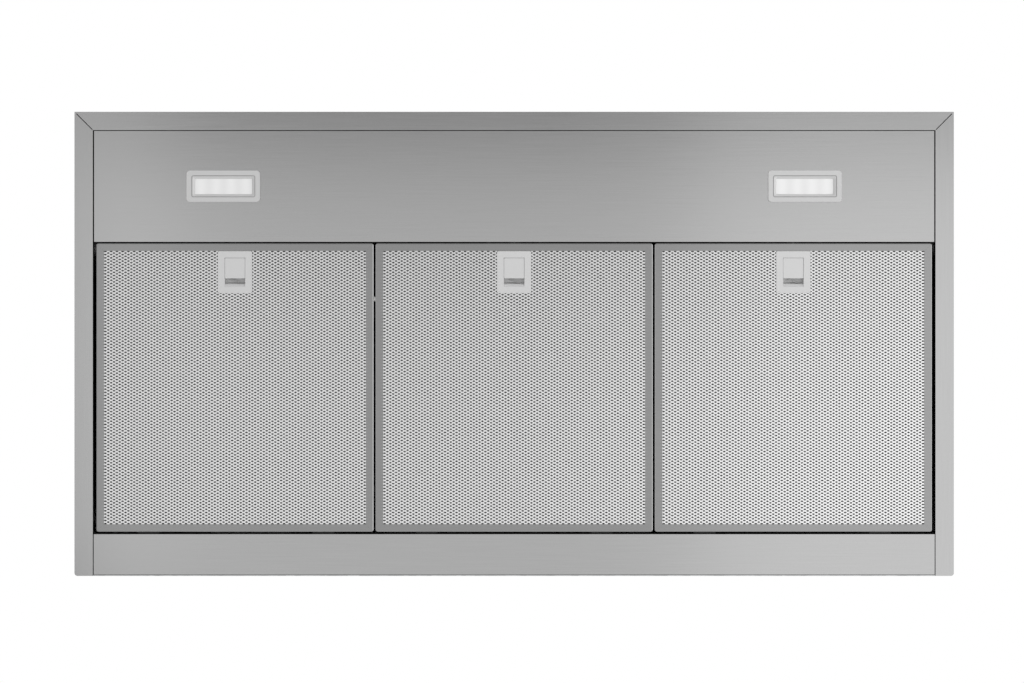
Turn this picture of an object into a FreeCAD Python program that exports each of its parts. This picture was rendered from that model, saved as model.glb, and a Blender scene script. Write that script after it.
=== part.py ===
import FreeCAD, Part
import math
import os
from collections import namedtuple
from types import SimpleNamespace

import Sketcher
from FreeCAD import Placement, Rotation, Vector

# A wall-mount pyramid range hood, in millimetres.
# X runs left to right, the room is towards -Y, the wall is the plane Y = 0 and Z is up.
# The origin lies on the wall at mid-width, level with the underside of the rim.

# Driving sizes. Each one is a cell of the document's sheet, under its own alias.
SIZES = {
    # canopy
    "hood_width": 900.0,
    "hood_depth": 475.0,
    "band_height": 60.0,
    "slope_height": 190.0,
    "skin": 1.0,
    "lip_width": 19.0,
    "mitre_slit": 0.8,
    "lip_return": 6.0,
    "rear_bend": 3.0,
    "rear_return": 15.0,
    "top_flange": 12.0,
    "fit_gap": 0.2,
    # back panel
    "back_sheet": 1.0,
    "wall_screw_spacing": 400.0,
    "wall_screw_rise": 60.0,
    "wall_screw_low": 30.0,
    "wall_screw_radius": 3.25,
    "keyhole_spacing": 300.0,
    "keyhole_height": 190.0,
    "keyhole_radius": 6.0,
    "keyhole_slot": 6.5,
    "keyhole_rise": 14.0,
    # light panel and rear rail
    "panel_sheet": 1.0,
    "light_panel_depth": 113.5,
    "seam_gap": 0.6,
    "end_gap": 1.1,
    "seat_overlap": 6.0,
    "catch_flange": 14.0,
    "dimple_spacing": 52.8,
    "dimple_radius": 3.2,
    "dimple_height": 3.8,
    "dimple_reach": 0.7,
    "rear_rail_depth": 42.8,
    "rail_flange": 9.0,
    # filters
    "filter_front_gap": 1.3,
    "filter_rear_gap": 2.0,
    "filter_side_gap": 3.0,
    "filter_gap": 1.6,
    "filter_lift": 0.3,
    "filter_thickness": 9.0,
    "filter_face": 8.0,
    "frame_sheet": 1.0,
    "frame_edge": 1.2,
    "frame_corner": 2.5,
    "frame_mitre": 0.35,
    "mitre_depth": 0.3,
    "mesh_clearance": 0.15,
    "mesh_pitch_x": 48.0,
    "mesh_pitch_y": 26.0,
    "mesh_strand": 5.0,
    "hook_spacing": 180.0,
    "hook_width": 22.0,
    "hook_reach": 7.0,
    "hook_seat": 6.5,
    "hook_sheet": 0.8,
    "bumper_radius": 2.6,
    "bumper_back": 57.0,
    "bumper_clearance": 0.4,
    # filter latches
    "latch_width": 35.0,
    "latch_length": 43.0,
    "latch_depth": 9.5,
    "latch_sink": 0.2,
    "latch_corner": 1.5,
    "latch_front_wall": 6.8,
    "latch_roof": 2.0,
    "slider_width": 20.6,
    "slider_length": 20.8,
    "slider_plate": 2.8,
    "slider_sink": 0.4,
    "slider_clearance": 0.25,
    "slider_corner": 0.8,
    "finger_recess": 8.8,
    "ramp_setback": 3.9,
    "scoop_run": 3.0,
    "scoop_depth": 2.0,
    "tongue_width": 12.0,
    "tongue_thickness": 2.6,
    "tongue_root": 8.0,
    "tongue_gap": 0.4,
    "tongue_lead": 1.2,
    "spring_wire": 0.6,
    "spring_height": 2.0,
    "spring_inset": 1.0,
    # lamps
    "lamp_spacing": 595.0,
    "bezel_width": 75.0,
    "bezel_depth": 32.0,
    "bezel_corner": 3.5,
    "bezel_proud": 1.5,
    "bezel_step": 0.4,
    "step_margin": 4.8,
    "bezel_groove": 0.8,
    "groove_depth": 0.8,
    "neck_margin": 4.6,
    "neck_height": 12.0,
    "neck_wall": 1.3,
    "neck_corner": 2.0,
    "lens_width": 58.3,
    "lens_depth": 15.7,
    "lens_corner": 1.0,
    "lens_sheet": 2.0,
    "funnel": 2.3,
    "ledge_land": 0.4,
    "lamp_clearance": 0.3,
    "led_pitch": 15.3,
    "led_size": 3.5,
    "led_height": 0.9,
    "board_sheet": 1.2,
    "spigot": 4.0,
    "lamp_cap": 11.0,
    "clip_width": 12.0,
    "clip_reach": 10.0,
    "clip_sheet": 0.8,
    # controls
    "button_radius": 6.5,
    "button_pitch": 24.0,
    "button_sink": 0.2,
    "button_clearance": 0.3,
    "button_flange": 1.5,
    "button_brim": 1.6,
    "button_stem": 3.0,
    "button_stem_radius": 3.2,
    "button_travel": 1.5,
    "switch_size": 6.0,
    "switch_depth": 4.0,
    "control_wall": 2.0,
    "control_margin": 22.0,
    "control_height": 32.0,
    "control_board_sheet": 1.6,
    "control_corner": 4.0,
    # canopy top plate
    "plate_sheet": 1.2,
    "plate_gap": 0.5,
    "plate_upstand": 15.0,
    "plate_screw_inset": 66.0,
    "chimney_screw_back": 40.0,
    # blower
    "blower_width": 130.0,
    "blower_hang": 132.0,
    "scroll_start": 80.0,
    "scroll_step": 10.0,
    "scroll_wall": 1.5,
    "scroll_flange": 12.0,
    "inlet_radius": 58.0,
    "inlet_lip": 3.5,
    "inlet_rim": 2.0,
    "wheel_radius": 68.0,
    "wheel_inner": 54.0,
    "wheel_width": 110.0,
    "wheel_rim": 2.0,
    "blade_count": 32,
    "blade_sheet": 1.2,
    "blade_lead": 6.0,
    "blade_bend": 12.0,
    "hub_disc": 2.0,
    "hub_radius": 10.0,
    "hub_length": 12.0,
    "hub_gap": 6.0,
    "shaft_radius": 4.0,
    "shaft_tail": 5.0,
    "press_clearance": 0.02,
    "running_clearance": 0.05,
    "motor_radius": 42.0,
    "motor_length": 60.0,
    "motor_shoulder": 6.0,
    "bracket_disc": 26.0,
    "bracket_arm": 16.0,
    "bracket_reach": 72.0,
    "bracket_sheet": 1.5,
    # duct collar and damper
    "collar_radius": 75.0,
    "collar_sheet": 1.5,
    "collar_height": 60.0,
    "collar_flange": 95.0,
    "damper_rise": 36.0,
    "damper_sheet": 1.0,
    "damper_gap": 1.0,
    "damper_ledge": 2.5,
    "damper_rest": 0.3,
    "rod_radius": 1.5,
    "knuckle_radius": 2.5,
    "knuckle_length": 18.0,
    "knuckle_pitch": 30.0,
    # chimney
    "chimney_width": 300.0,
    "chimney_depth": 270.0,
    "chimney_sheet": 1.0,
    "chimney_bend": 2.0,
    "chimney_return": 15.0,
    "chimney_gap": 0.6,
    "chimney_rest": 0.3,
    "lower_chimney_height": 400.0,
    "upper_chimney_height": 420.0,
    "vent_length": 110.0,
    "vent_height": 4.0,
    "vent_pitch": 8.0,
    "vent_top": 12.0,
    "wall_bracket_half": 128.0,
    "wall_bracket_height": 26.0,
    "wall_bracket_drop": 6.0,
    "wall_bracket_arm": 30.0,
    "wall_bracket_ear": 22.0,
    "wall_bracket_screw": 3.0,
    "wall_bracket_spacing": 200.0,
    # wiring box
    "wiring_offset": 277.0,
    "wiring_width": 85.0,
    "wiring_depth": 44.0,
    "wiring_height": 55.0,
    "wiring_low": 60.0,
    "wiring_sheet": 1.0,
    "bushing_radius": 10.0,
    "bushing_bore": 6.0,
    "bushing_flange": 13.0,
    "bushing_length": 8.0,
    "bushing_offset": 22.0,
    "bushing_rise": 33.0,
    "bushing_clearance": 0.15,
    "capacitor_radius": 14.0,
    "capacitor_length": 50.0,
    # screws
    "screw_radius": 1.9,
    "screw_hole": 2.1,
    "screw_head": 3.5,
    "screw_head_height": 2.2,
    "screw_length": 9.0,
}

CUT_PAST = 1.0  # how far a cut runs past the face that it opens
VENT_ROWS = 3
SPRING_FOLDS = 6
LED_COUNT = 4
BRACKET_ARMS = 3
SIDES = (("left", -1), ("right", 1))
FILTERS = (("left", -1), ("middle", 0), ("right", 1))
BUTTONS = ("power", "low", "medium", "high", "light")

doc = FreeCAD.newDocument("range_hood")
sheet = doc.addObject("Spreadsheet::Sheet", "Sizes")
for row, (alias, number) in enumerate(SIZES.items(), start=1):
    sheet.set(f"A{row}", alias)
    sheet.set(f"B{row}", str(number))
    sheet.setAlias(f"B{row}", alias)
doc.recompute()


def text_of(size):
    return size.text if isinstance(size, Size) else str(size)


def value_of(size):
    return size.value if isinstance(size, Size) else size


class Size:
    """A length that keeps its value together with the sheet formula that it comes from."""

    def __init__(self, text, value):
        self.text = text
        self.value = value

    def __add__(self, other):
        return Size(f"({self.text} + {text_of(other)})", self.value + value_of(other))

    def __radd__(self, other):
        return Size(f"({text_of(other)} + {self.text})", value_of(other) + self.value)

    def __sub__(self, other):
        return Size(f"({self.text} - {text_of(other)})", self.value - value_of(other))

    def __rsub__(self, other):
        return Size(f"({text_of(other)} - {self.text})", value_of(other) - self.value)

    def __mul__(self, other):
        return Size(f"({self.text} * {text_of(other)})", self.value * value_of(other))

    def __rmul__(self, other):
        return Size(f"({text_of(other)} * {self.text})", value_of(other) * self.value)

    def __truediv__(self, other):
        return Size(f"({self.text} / {text_of(other)})", self.value / value_of(other))

    def __neg__(self):
        return Size(f"(0 - {self.text})", -self.value)

    def root(self):
        return Size(f"sqrt({self.text})", math.sqrt(self.value))


d = SimpleNamespace(**{alias: Size(f"Sizes.{alias}", number) for alias, number in SIZES.items()})

# Document helpers

Disc = namedtuple("Disc", "centre radius")
PIECES = []
PLANE = {"X": "YZ_Plane", "Y": "XZ_Plane", "Z": "XY_Plane"}
NORMAL = {"X": 1, "Y": -1, "Z": 1}  # which way each origin plane faces along its axis
TURN = {"X": Rotation(Vector(0, 1, 0), 90), "Y": Rotation(Vector(1, 0, 0), -90), "Z": Rotation()}


def around(centre, size):
    """The span of a size about a centre."""
    return centre - size / 2, centre + size / 2


def piece(label, shape):
    """Name a finished sub-part, which is then written to a file of that name."""
    shape.Label = label
    PIECES.append(shape)
    return shape


def bind(target, path, size):
    target.setExpression(path, text_of(size))


def box(name, xs, ys, zs):
    """A box from its three spans."""
    shape = doc.addObject("Part::Box", name)
    for path, letter, span in (("Length", "x", xs), ("Width", "y", ys), ("Height", "z", zs)):
        bind(shape, path, span[1] - span[0])
        bind(shape, f"Placement.Base.{letter}", span[0])
    return shape


def cylinder(name, axis, centre, radius, span):
    """A cylinder along an axis, with its centre on the two other axes."""
    shape = doc.addObject("Part::Cylinder", name)
    shape.Placement = Placement(Vector(), TURN[axis])
    bind(shape, "Radius", radius)
    bind(shape, "Height", span[1] - span[0])
    bind(shape, f"Placement.Base.{axis.lower()}", span[0])
    for letter, where in zip("XYZ".replace(axis, "").lower(), centre):
        bind(shape, f"Placement.Base.{letter}", where)
    return shape


def fuse(name, *shapes):
    result = doc.addObject("Part::MultiFuse", name)
    result.Shapes = list(shapes)
    result.Refine = True
    return result


def cut(name, base, *tools):
    result = doc.addObject("Part::Cut", name)
    result.Base = base
    result.Tool = tools[0] if len(tools) == 1 else fuse(f"{name}_tools", *tools)
    result.Refine = True
    return result


def group(name, shapes):
    """Like pieces that share one node, each still a solid of its own."""
    result = doc.addObject("Part::Compound", name)
    result.Links = shapes
    return result


def round_edges(name, base, radius, chosen):
    doc.recompute()
    result = doc.addObject("Part::Fillet", name)
    result.Base = base
    picked = [number for number, edge in enumerate(base.Shape.Edges, start=1) if chosen(edge)]
    result.Edges = [(number, radius.value, radius.value) for number in picked]
    return result


def new_body(label):
    return piece(label, doc.addObject("PartDesign::Body", label))


def sketch_at(body, axis, level, origin=(0, 0)):
    """A sketch square to an axis, at a level along it, with its own origin moved in its plane."""
    sketch = body.newObject("Sketcher::SketchObject", f"{body.Name}_sketch")
    plane = next(f for f in body.Origin.OriginFeatures if f.Role == PLANE[axis])
    sketch.AttachmentSupport = [(plane, "")]
    sketch.MapMode = "FlatFace"
    bind(sketch, "AttachmentOffset.Base.x", origin[0])
    bind(sketch, "AttachmentOffset.Base.y", origin[1])
    bind(sketch, "AttachmentOffset.Base.z", level * NORMAL[axis])
    return sketch


def constrain(sketch, size, kind, *where):
    index = sketch.addConstraint(Sketcher.Constraint(kind, *where, value_of(size)))
    if isinstance(size, Size):
        bind(sketch, f"Constraints[{index}]", size)


def arc_between(start, stop, radius):
    """The shorter arc that turns left from start to stop."""
    chord = stop - start
    height = math.sqrt(radius**2 - chord.Length**2 / 4)
    left = Vector(-chord.y, chord.x, 0).normalize()
    centre = (start + stop) / 2 + left * height
    angles = [math.atan2(point.y - centre.y, point.x - centre.x) for point in (start, stop)]
    return Part.ArcOfCircle(Part.Circle(centre, Vector(0, 0, 1), radius), *angles)


def draw_corners(sketch, corners):
    """A closed outline with each corner pinned.

    A corner's third value is the radius of the arc that leaves it, below zero for a turn to the right.
    """
    first = sketch.GeometryCount
    count = len(corners)
    points = [Vector(value_of(corner[0]), value_of(corner[1]), 0) for corner in corners]
    radii = [corner[2] if len(corner) == 3 else 0 for corner in corners]
    heads = [2 if value_of(radius) < 0 else 1 for radius in radii]
    for index, radius in enumerate(radii):
        start = points[index]
        stop = points[(index + 1) % count]
        if value_of(radius) == 0:
            sketch.addGeometry(Part.LineSegment(start, stop), False)
        elif value_of(radius) > 0:
            sketch.addGeometry(arc_between(start, stop, value_of(radius)), False)
        else:
            sketch.addGeometry(arc_between(stop, start, -value_of(radius)), False)
    for index, corner in enumerate(corners):
        edge = first + index
        following = (index + 1) % count
        tail = 3 - heads[index]
        sketch.addConstraint(
            Sketcher.Constraint("Coincident", edge, tail, first + following, heads[following])
        )
        constrain(sketch, corner[0], "DistanceX", edge, heads[index])
        constrain(sketch, corner[1], "DistanceY", edge, heads[index])
        if value_of(radii[index]) > 0:
            constrain(sketch, radii[index], "Radius", edge)
        elif value_of(radii[index]) < 0:
            constrain(sketch, -radii[index], "Radius", edge)


def draw(sketch, outlines):
    for outline in outlines:
        if isinstance(outline, Disc):
            middle = Vector(value_of(outline.centre[0]), value_of(outline.centre[1]), 0)
            edge = sketch.GeometryCount
            sketch.addGeometry(Part.Circle(middle, Vector(0, 0, 1), value_of(outline.radius)), False)
            constrain(sketch, outline.centre[0], "DistanceX", edge, 3)
            constrain(sketch, outline.centre[1], "DistanceY", edge, 3)
            constrain(sketch, outline.radius, "Radius", edge)
        else:
            draw_corners(sketch, outline)
    return sketch


def rectangle(xs, ys):
    return [(xs[0], ys[0]), (xs[1], ys[0]), (xs[1], ys[1]), (xs[0], ys[1])]


def rounded(xs, ys, radius):
    """A rectangle with round corners."""
    return [
        (xs[0] + radius, ys[0]),
        (xs[1] - radius, ys[0], radius),
        (xs[1], ys[0] + radius),
        (xs[1], ys[1] - radius, radius),
        (xs[1] - radius, ys[1]),
        (xs[0] + radius, ys[1], radius),
        (xs[0], ys[1] - radius),
        (xs[0], ys[0] + radius, radius),
    ]


def pad(body, axis, span, outlines, origin=(0, 0)):
    """Add material over a span of an axis."""
    start = span[0] if NORMAL[axis] > 0 else span[1]
    sketch = draw(sketch_at(body, axis, start, origin), outlines)
    feature = body.newObject("PartDesign::Pad", f"{body.Name}_pad")
    feature.Profile = sketch
    bind(feature, "Length", span[1] - span[0])
    return feature


def pocket(body, axis, span, outlines, origin=(0, 0)):
    """Take material away over a span of an axis, and make sure that some went."""
    doc.recompute()
    before = body.Shape.Volume
    start = span[1] if NORMAL[axis] > 0 else span[0]
    sketch = draw(sketch_at(body, axis, start, origin), outlines)
    feature = body.newObject("PartDesign::Pocket", f"{body.Name}_pocket")
    feature.Profile = sketch
    bind(feature, "Length", span[1] - span[0])
    doc.recompute()
    if body.Shape.Volume >= before:
        raise ValueError(f"{feature.Name} cuts nothing")
    return feature


def revolve(body, axis, centre, profile):
    """Turn a profile round a line along an axis.

    Its corners are (radius, height), or (height, radius) about X.
    """
    if axis == "Z":
        sketch = sketch_at(body, "Y", centre[1], (centre[0], 0))
    elif axis == "X":
        sketch = sketch_at(body, "Z", centre[1], (0, centre[0]))
    else:
        sketch = sketch_at(body, "Z", centre[1], (centre[0], 0))
    draw(sketch, [profile])
    feature = body.newObject("PartDesign::Revolution", f"{body.Name}_turned")
    feature.Profile = sketch
    feature.ReferenceAxis = (sketch, ["H_Axis" if axis == "X" else "V_Axis"])
    return feature


def dress(body, kind, path, size, chosen):
    """Fillet or chamfer the body's edges that a test picks."""
    doc.recompute()
    base = body.Tip
    picked = [f"Edge{n}" for n, edge in enumerate(base.Shape.Edges, start=1) if chosen(edge)]
    feature = body.newObject(f"PartDesign::{kind}", f"{body.Name}_{kind.lower()}")
    feature.Base = (base, picked)
    bind(feature, path, size)
    return feature


def ring_of(body, feature, sketch, count):
    """Repeat a feature round its sketch's own centre."""
    pattern = body.newObject("PartDesign::PolarPattern", f"{body.Name}_pattern")
    pattern.Originals = [feature]
    pattern.Axis = (sketch, ["N_Axis"])
    pattern.Angle = 360
    bind(pattern, "Occurrences", count)
    body.Tip = pattern
    return pattern


def at_level(axis, level):
    """A test for edges that lie wholly in a plane square to an axis."""
    def lies_there(edge):
        return all(abs(getattr(v.Point, axis) - value_of(level)) < 1e-4 for v in edge.Vertexes)
    return lies_there


def screw(name, axis, centre, seat, away):
    """A pan-head screw. Its head sits on a face at seat and rises towards away, +1 or -1 along the axis."""
    head = sorted((seat, seat + away * d.screw_head_height), key=value_of)
    shank = sorted((seat, seat - away * d.screw_length), key=value_of)
    return fuse(
        name,
        cylinder(f"{name}_head", axis, centre, d.screw_head, head),
        cylinder(f"{name}_shank", axis, centre, d.screw_radius, shank),
    )


# Places that several pieces share

half_width = d.hood_width / 2
lip_x = half_width - d.lip_width
lip_y = d.lip_width - d.hood_depth
slope_top = d.band_height + d.slope_height
half_chimney = d.chimney_width / 2

panel_front = lip_y + d.seam_gap
panel_rear = panel_front + d.light_panel_depth
panel_x = lip_x - d.end_gap
seat_x = lip_x + d.seat_overlap
seat_z = (d.lip_return, d.lip_return + d.panel_sheet)
rail_front = -d.rear_rail_depth
rail_rear = -d.back_sheet - d.fit_gap

filter_front = panel_rear + d.filter_front_gap
filter_rear = rail_front - d.filter_rear_gap
filter_width = (2 * lip_x - 2 * d.filter_side_gap - 2 * d.filter_gap) / 3
filter_pitch = filter_width + d.filter_gap
filter_bottom = d.filter_lift
filter_top = filter_bottom + d.filter_thickness

latch_front = filter_front + d.filter_face + d.fit_gap
latch_rear = latch_front + d.latch_length
latch_face = filter_bottom + d.latch_sink
window_front = latch_front + d.latch_front_wall
slider_front = window_front + d.slider_clearance
slider_rear = slider_front + d.slider_length
window_rear = slider_rear + d.finger_recess
window_top = latch_face + d.latch_depth - d.latch_roof
scoop_y = window_rear - d.scoop_run
scoop_z = latch_face + d.scoop_depth
tongue_low = latch_face + d.slider_sink + d.slider_plate
tongue_high = tongue_low + d.tongue_thickness
tongue_slot = (tongue_low - d.slider_clearance, tongue_high + d.slider_clearance)

lamp_y = (panel_front + panel_rear) / 2
neck_width = d.bezel_width - 2 * d.neck_margin
neck_depth = d.bezel_depth - 2 * d.neck_margin
cavity_width = neck_width - 2 * d.neck_wall
cavity_depth = neck_depth - 2 * d.neck_wall
lens_seat = d.bezel_step - d.bezel_proud + d.funnel + d.ledge_land
lamp_board = d.neck_height - d.spigot

button_height = d.band_height / 2
band_inside = d.skin - d.hood_depth
control_inside = band_inside + d.control_wall
button_flange = control_inside + d.fit_gap
button_stem = button_flange + d.button_flange
switch_front = button_stem + d.button_stem + d.button_travel + d.fit_gap
control_board = switch_front + d.switch_depth
control_rear = control_board + d.control_board_sheet
control_x = (len(BUTTONS) - 1) / 2 * d.button_pitch + d.control_margin

plate_x = half_chimney - d.chimney_sheet - d.plate_gap
plate_front = d.chimney_sheet + d.plate_gap - d.chimney_depth
plate_rear = -d.chimney_sheet - d.plate_gap
plate_top = slope_top + d.plate_sheet
upstand_top = slope_top + d.plate_upstand
plate_screw_x = half_chimney - d.top_flange / 2 - d.chimney_sheet
plate_screw_y = (plate_front + d.plate_screw_inset, plate_rear - d.plate_screw_inset)

duct_y = -d.chimney_depth / 2
scroll_end = d.scroll_start + 2 * d.scroll_step
outlet_depth = scroll_end + d.scroll_step
wheel_y = duct_y - (scroll_end - d.scroll_step) / 2
wheel_z = slope_top - d.blower_hang
half_blower = d.blower_width / 2
motor_front = d.motor_length - half_blower
hub_front = motor_front + d.hub_gap
blower_screw_x = half_blower - d.screw_head - CUT_PAST
blower_screw_y = (outlet_depth + d.scroll_flange) / 2

collar_inner = d.collar_radius - d.collar_sheet
rod_z = plate_top + d.damper_rise
chimney_screw_y = -d.chimney_screw_back
chimney_screw_z = slope_top + d.plate_upstand / 2

upper_half = half_chimney - d.chimney_sheet - d.chimney_gap
upper_front = d.chimney_sheet + d.chimney_gap - d.chimney_depth
upper_back = -d.chimney_sheet - d.chimney_gap
upper_low = upstand_top + d.chimney_rest
upper_top = upper_low + d.upper_chimney_height
ear_x = upper_half - d.chimney_sheet - d.fit_gap
ear_front = -d.wall_bracket_arm - d.wall_bracket_ear
ear_screw_y = ear_front + d.wall_bracket_ear / 2 - d.screw_head
bracket_high = upper_top - d.wall_bracket_drop
bracket_low = bracket_high - d.wall_bracket_height
bracket_middle = (bracket_low + bracket_high) / 2

wiring_span = around(-d.wiring_offset, d.wiring_width)
wiring_rear = -d.back_sheet
wiring_front = wiring_rear - d.wiring_depth
wiring_top = d.wiring_low + d.wiring_height
bushing_x = d.bushing_offset - d.wiring_offset
bushing_z = d.wiring_low + d.bushing_rise


# Canopy


def pyramid(name, half, depth, top_half, top_depth):
    """A wedge that rises from the band to the chimney and stands flat on the wall plane."""
    wedge = doc.addObject("Part::Wedge", name)
    wedge.Placement = Placement(Vector(), Rotation(Vector(1, 0, 0), 90))
    spans = {
        "X": (-half, half),
        "Y": (d.band_height, slope_top),
        "Z": (0, depth),
        "X2": (-top_half, top_half),
        "Z2": (0, top_depth),
    }
    for letter, (low, high) in spans.items():
        bind(wedge, f"{letter}max", high)
        bind(wedge, f"{letter}min", low)
    return wedge


def mitre_slit(name, side):
    """The open seam between the front lip and a side lip, at 45 degrees."""
    slit = doc.addObject("Part::Box", name)
    slit.Placement = Placement(Vector(), Rotation(Vector(0, 0, 1), 90 + 45 * side))
    aside = d.mitre_slit * math.sqrt(0.125)
    bind(slit, "Length", (d.lip_width - 2 * d.skin) * math.sqrt(2) + CUT_PAST)
    bind(slit, "Width", d.mitre_slit)
    bind(slit, "Height", d.skin + CUT_PAST)
    bind(slit, "Placement.Base.x", side * (half_width - 2 * d.skin) + aside)
    bind(slit, "Placement.Base.y", 2 * d.skin - d.hood_depth + side * aside)
    bind(slit, "Placement.Base.z", -CUT_PAST)
    return slit


def rear_upright(edge):
    return edge.BoundBox.ZLength > 1 and edge.BoundBox.YMax > -2 * d.skin.value


def button_x(index):
    return (index - (len(BUTTONS) - 1) / 2) * d.button_pitch


def plate_screw_places():
    return [(side * plate_screw_x, y) for _, side in SIDES for y in plate_screw_y]


def canopy_skin():
    """Brushed stainless band, pyramid and folded lips, open at the bottom and at the wall.

    The lips' inner edges turn up, and the light panel and the rear rail hang on them.
    """
    band = box("skin_band", (-half_width, half_width), (-d.hood_depth, 0), (0, d.band_height))
    outside = fuse(
        "skin_outside",
        round_edges("skin_band_bent", band, d.rear_bend, rear_upright),
        pyramid("skin_pyramid", half_width, d.hood_depth, half_chimney, d.chimney_depth),
    )
    room_x = half_width - d.skin
    room = box("skin_room", (-room_x, room_x), (band_inside, -d.skin), (d.skin, d.band_height))
    crown_x = half_chimney - d.skin
    crown_y = d.chimney_depth - d.skin
    inside = fuse(
        "skin_inside",
        round_edges("skin_room_bent", room, d.rear_bend - d.skin, rear_upright),
        pyramid("skin_pyramid_room", room_x, d.hood_depth - d.skin, crown_x, crown_y),
    )
    rear_x = half_width - d.rear_return
    flange_z = (slope_top - d.skin, slope_top)
    top_x = half_chimney - d.top_flange
    flange = cut(
        "skin_flange",
        box("skin_flange_sheet", (-half_chimney, half_chimney), (-d.chimney_depth, 0), flange_z),
        box("skin_flange_hole", (-top_x, top_x), (d.top_flange - d.chimney_depth, CUT_PAST), flange_z),
    )
    shell = cut(
        "skin_shell",
        outside,
        inside,
        box("skin_mouth", (-lip_x, lip_x), (lip_y, CUT_PAST), (-CUT_PAST, d.skin)),
        box("skin_rear_mouth", (-rear_x, rear_x), (-d.skin, CUT_PAST), (d.skin, d.band_height)),
    )
    edge_x = lip_x + d.skin
    returns = cut(
        "skin_returns",
        box("skin_return_block", (-edge_x, edge_x), (lip_y - d.skin, rail_rear), (0, d.lip_return)),
        box("skin_return_mouth", (-lip_x, lip_x), (lip_y, CUT_PAST), (-CUT_PAST, d.lip_return + CUT_PAST)),
    )
    slits = [mitre_slit(f"skin_slit_{name}", side) for name, side in SIDES]
    button_holes = [
        cylinder(
            f"skin_button_hole_{name}",
            "Y",
            (button_x(index), button_height),
            d.button_radius + d.button_clearance,
            (-d.hood_depth - CUT_PAST, band_inside + CUT_PAST),
        )
        for index, name in enumerate(BUTTONS)
    ]
    through = (flange_z[0] - CUT_PAST, slope_top + CUT_PAST)
    screw_holes = [
        cylinder(f"skin_screw_hole_{n}", "Z", place, d.screw_hole, through)
        for n, place in enumerate(plate_screw_places())
    ]
    whole = fuse("skin_whole", shell, flange, returns)
    piece("canopy_skin", cut("canopy_skin", whole, *slits, *button_holes, *screw_holes))


def back_panel():
    """Zinc-coated sheet that closes the canopy at the wall and carries the wall screws."""
    body = new_body("back_panel")
    wide = half_width - d.rear_return - d.fit_gap
    eave = half_width - d.skin - 3 * d.fit_gap
    crown = half_chimney - d.skin - 3 * d.fit_gap
    eave_z = d.band_height + d.fit_gap
    top = slope_top - d.skin - d.fit_gap
    crown_at_top = crown + (half_width - half_chimney) * (d.skin + d.fit_gap) / d.slope_height
    foot = lip_x - d.fit_gap
    foot_z = d.skin + d.fit_gap
    outline = [
        (-foot, 0),
        (foot, 0),
        (foot, foot_z),
        (wide, foot_z),
        (wide, eave_z),
        (eave, eave_z),
        (crown_at_top, top),
        (-crown_at_top, top),
        (-eave, eave_z),
        (-wide, eave_z),
        (-wide, foot_z),
        (-foot, foot_z),
    ]
    sheet_span = (-d.back_sheet, 0)
    pad(body, "Y", sheet_span, [outline])
    levels = (d.wall_screw_low, d.wall_screw_low + d.wall_screw_rise)
    holes = [
        Disc((side * d.wall_screw_spacing / 2, level), d.wall_screw_radius)
        for _, side in SIDES
        for level in levels
    ]
    bushing = Disc((bushing_x, bushing_z), d.bushing_radius + d.bushing_clearance)
    through = (-d.back_sheet - CUT_PAST, CUT_PAST)
    pocket(body, "Y", through, [*holes, bushing])
    for _, side in SIDES:
        x = side * d.keyhole_spacing / 2
        slot_z = (d.keyhole_height, d.keyhole_height + d.keyhole_rise)
        pocket(body, "Y", through, [Disc((x, d.keyhole_height), d.keyhole_radius)])
        pocket(body, "Y", through, [rectangle(around(x, d.keyhole_slot), slot_z)])


def light_panel():
    """Stainless tray with the lamp cut-outs. The flange round its edge lies on the lips' turned-up edges.

    Beside each latch, two pressed dimples in its rear flange keep the filter from rattling.
    """
    inner_x = panel_x - d.panel_sheet
    inner_y = (panel_front + d.panel_sheet, panel_rear + CUT_PAST)
    tray = cut(
        "light_panel_tray",
        box("light_panel_block", (-panel_x, panel_x), (panel_front, panel_rear), (0, seat_z[1])),
        box("light_panel_room", (-inner_x, inner_x), inner_y, (d.panel_sheet, seat_z[1] + CUT_PAST)),
    )
    seat = cut(
        "light_panel_seat",
        box("light_panel_rim", (-seat_x, seat_x), (lip_y - d.seat_overlap, panel_rear), seat_z),
        box("light_panel_field", (-inner_x, inner_x), inner_y, seat_z),
    )
    flange_y = (panel_rear - d.panel_sheet, panel_rear)
    dimples = []
    for name, step in FILTERS:
        for side_name, side in SIDES:
            place = (step * filter_pitch + side * d.dimple_spacing / 2, d.dimple_height)
            reach = (panel_rear, panel_rear + d.dimple_reach)
            dimples.append(cylinder(f"dimple_{name}_{side_name}", "Y", place, d.dimple_radius, reach))
    whole = fuse(
        "light_panel_sheet",
        tray,
        seat,
        box("light_panel_flange", (-panel_x, panel_x), flange_y, (0, d.catch_flange)),
        *dimples,
    )
    lamp_holes = [
        box(
            f"lamp_hole_{name}",
            around(side * d.lamp_spacing / 2, neck_width + 2 * d.lamp_clearance),
            around(lamp_y, neck_depth + 2 * d.lamp_clearance),
            (-CUT_PAST, d.panel_sheet + CUT_PAST),
        )
        for name, side in SIDES
    ]
    catch_y = (flange_y[0] - CUT_PAST, panel_rear + CUT_PAST)
    catch_width = d.tongue_width + 4 * d.slider_clearance
    catch_holes = [
        box(f"catch_hole_{name}", around(step * filter_pitch, catch_width), catch_y, tongue_slot)
        for name, step in FILTERS
    ]
    piece("light_panel", cut("light_panel", whole, *lamp_holes, *catch_holes))


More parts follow.
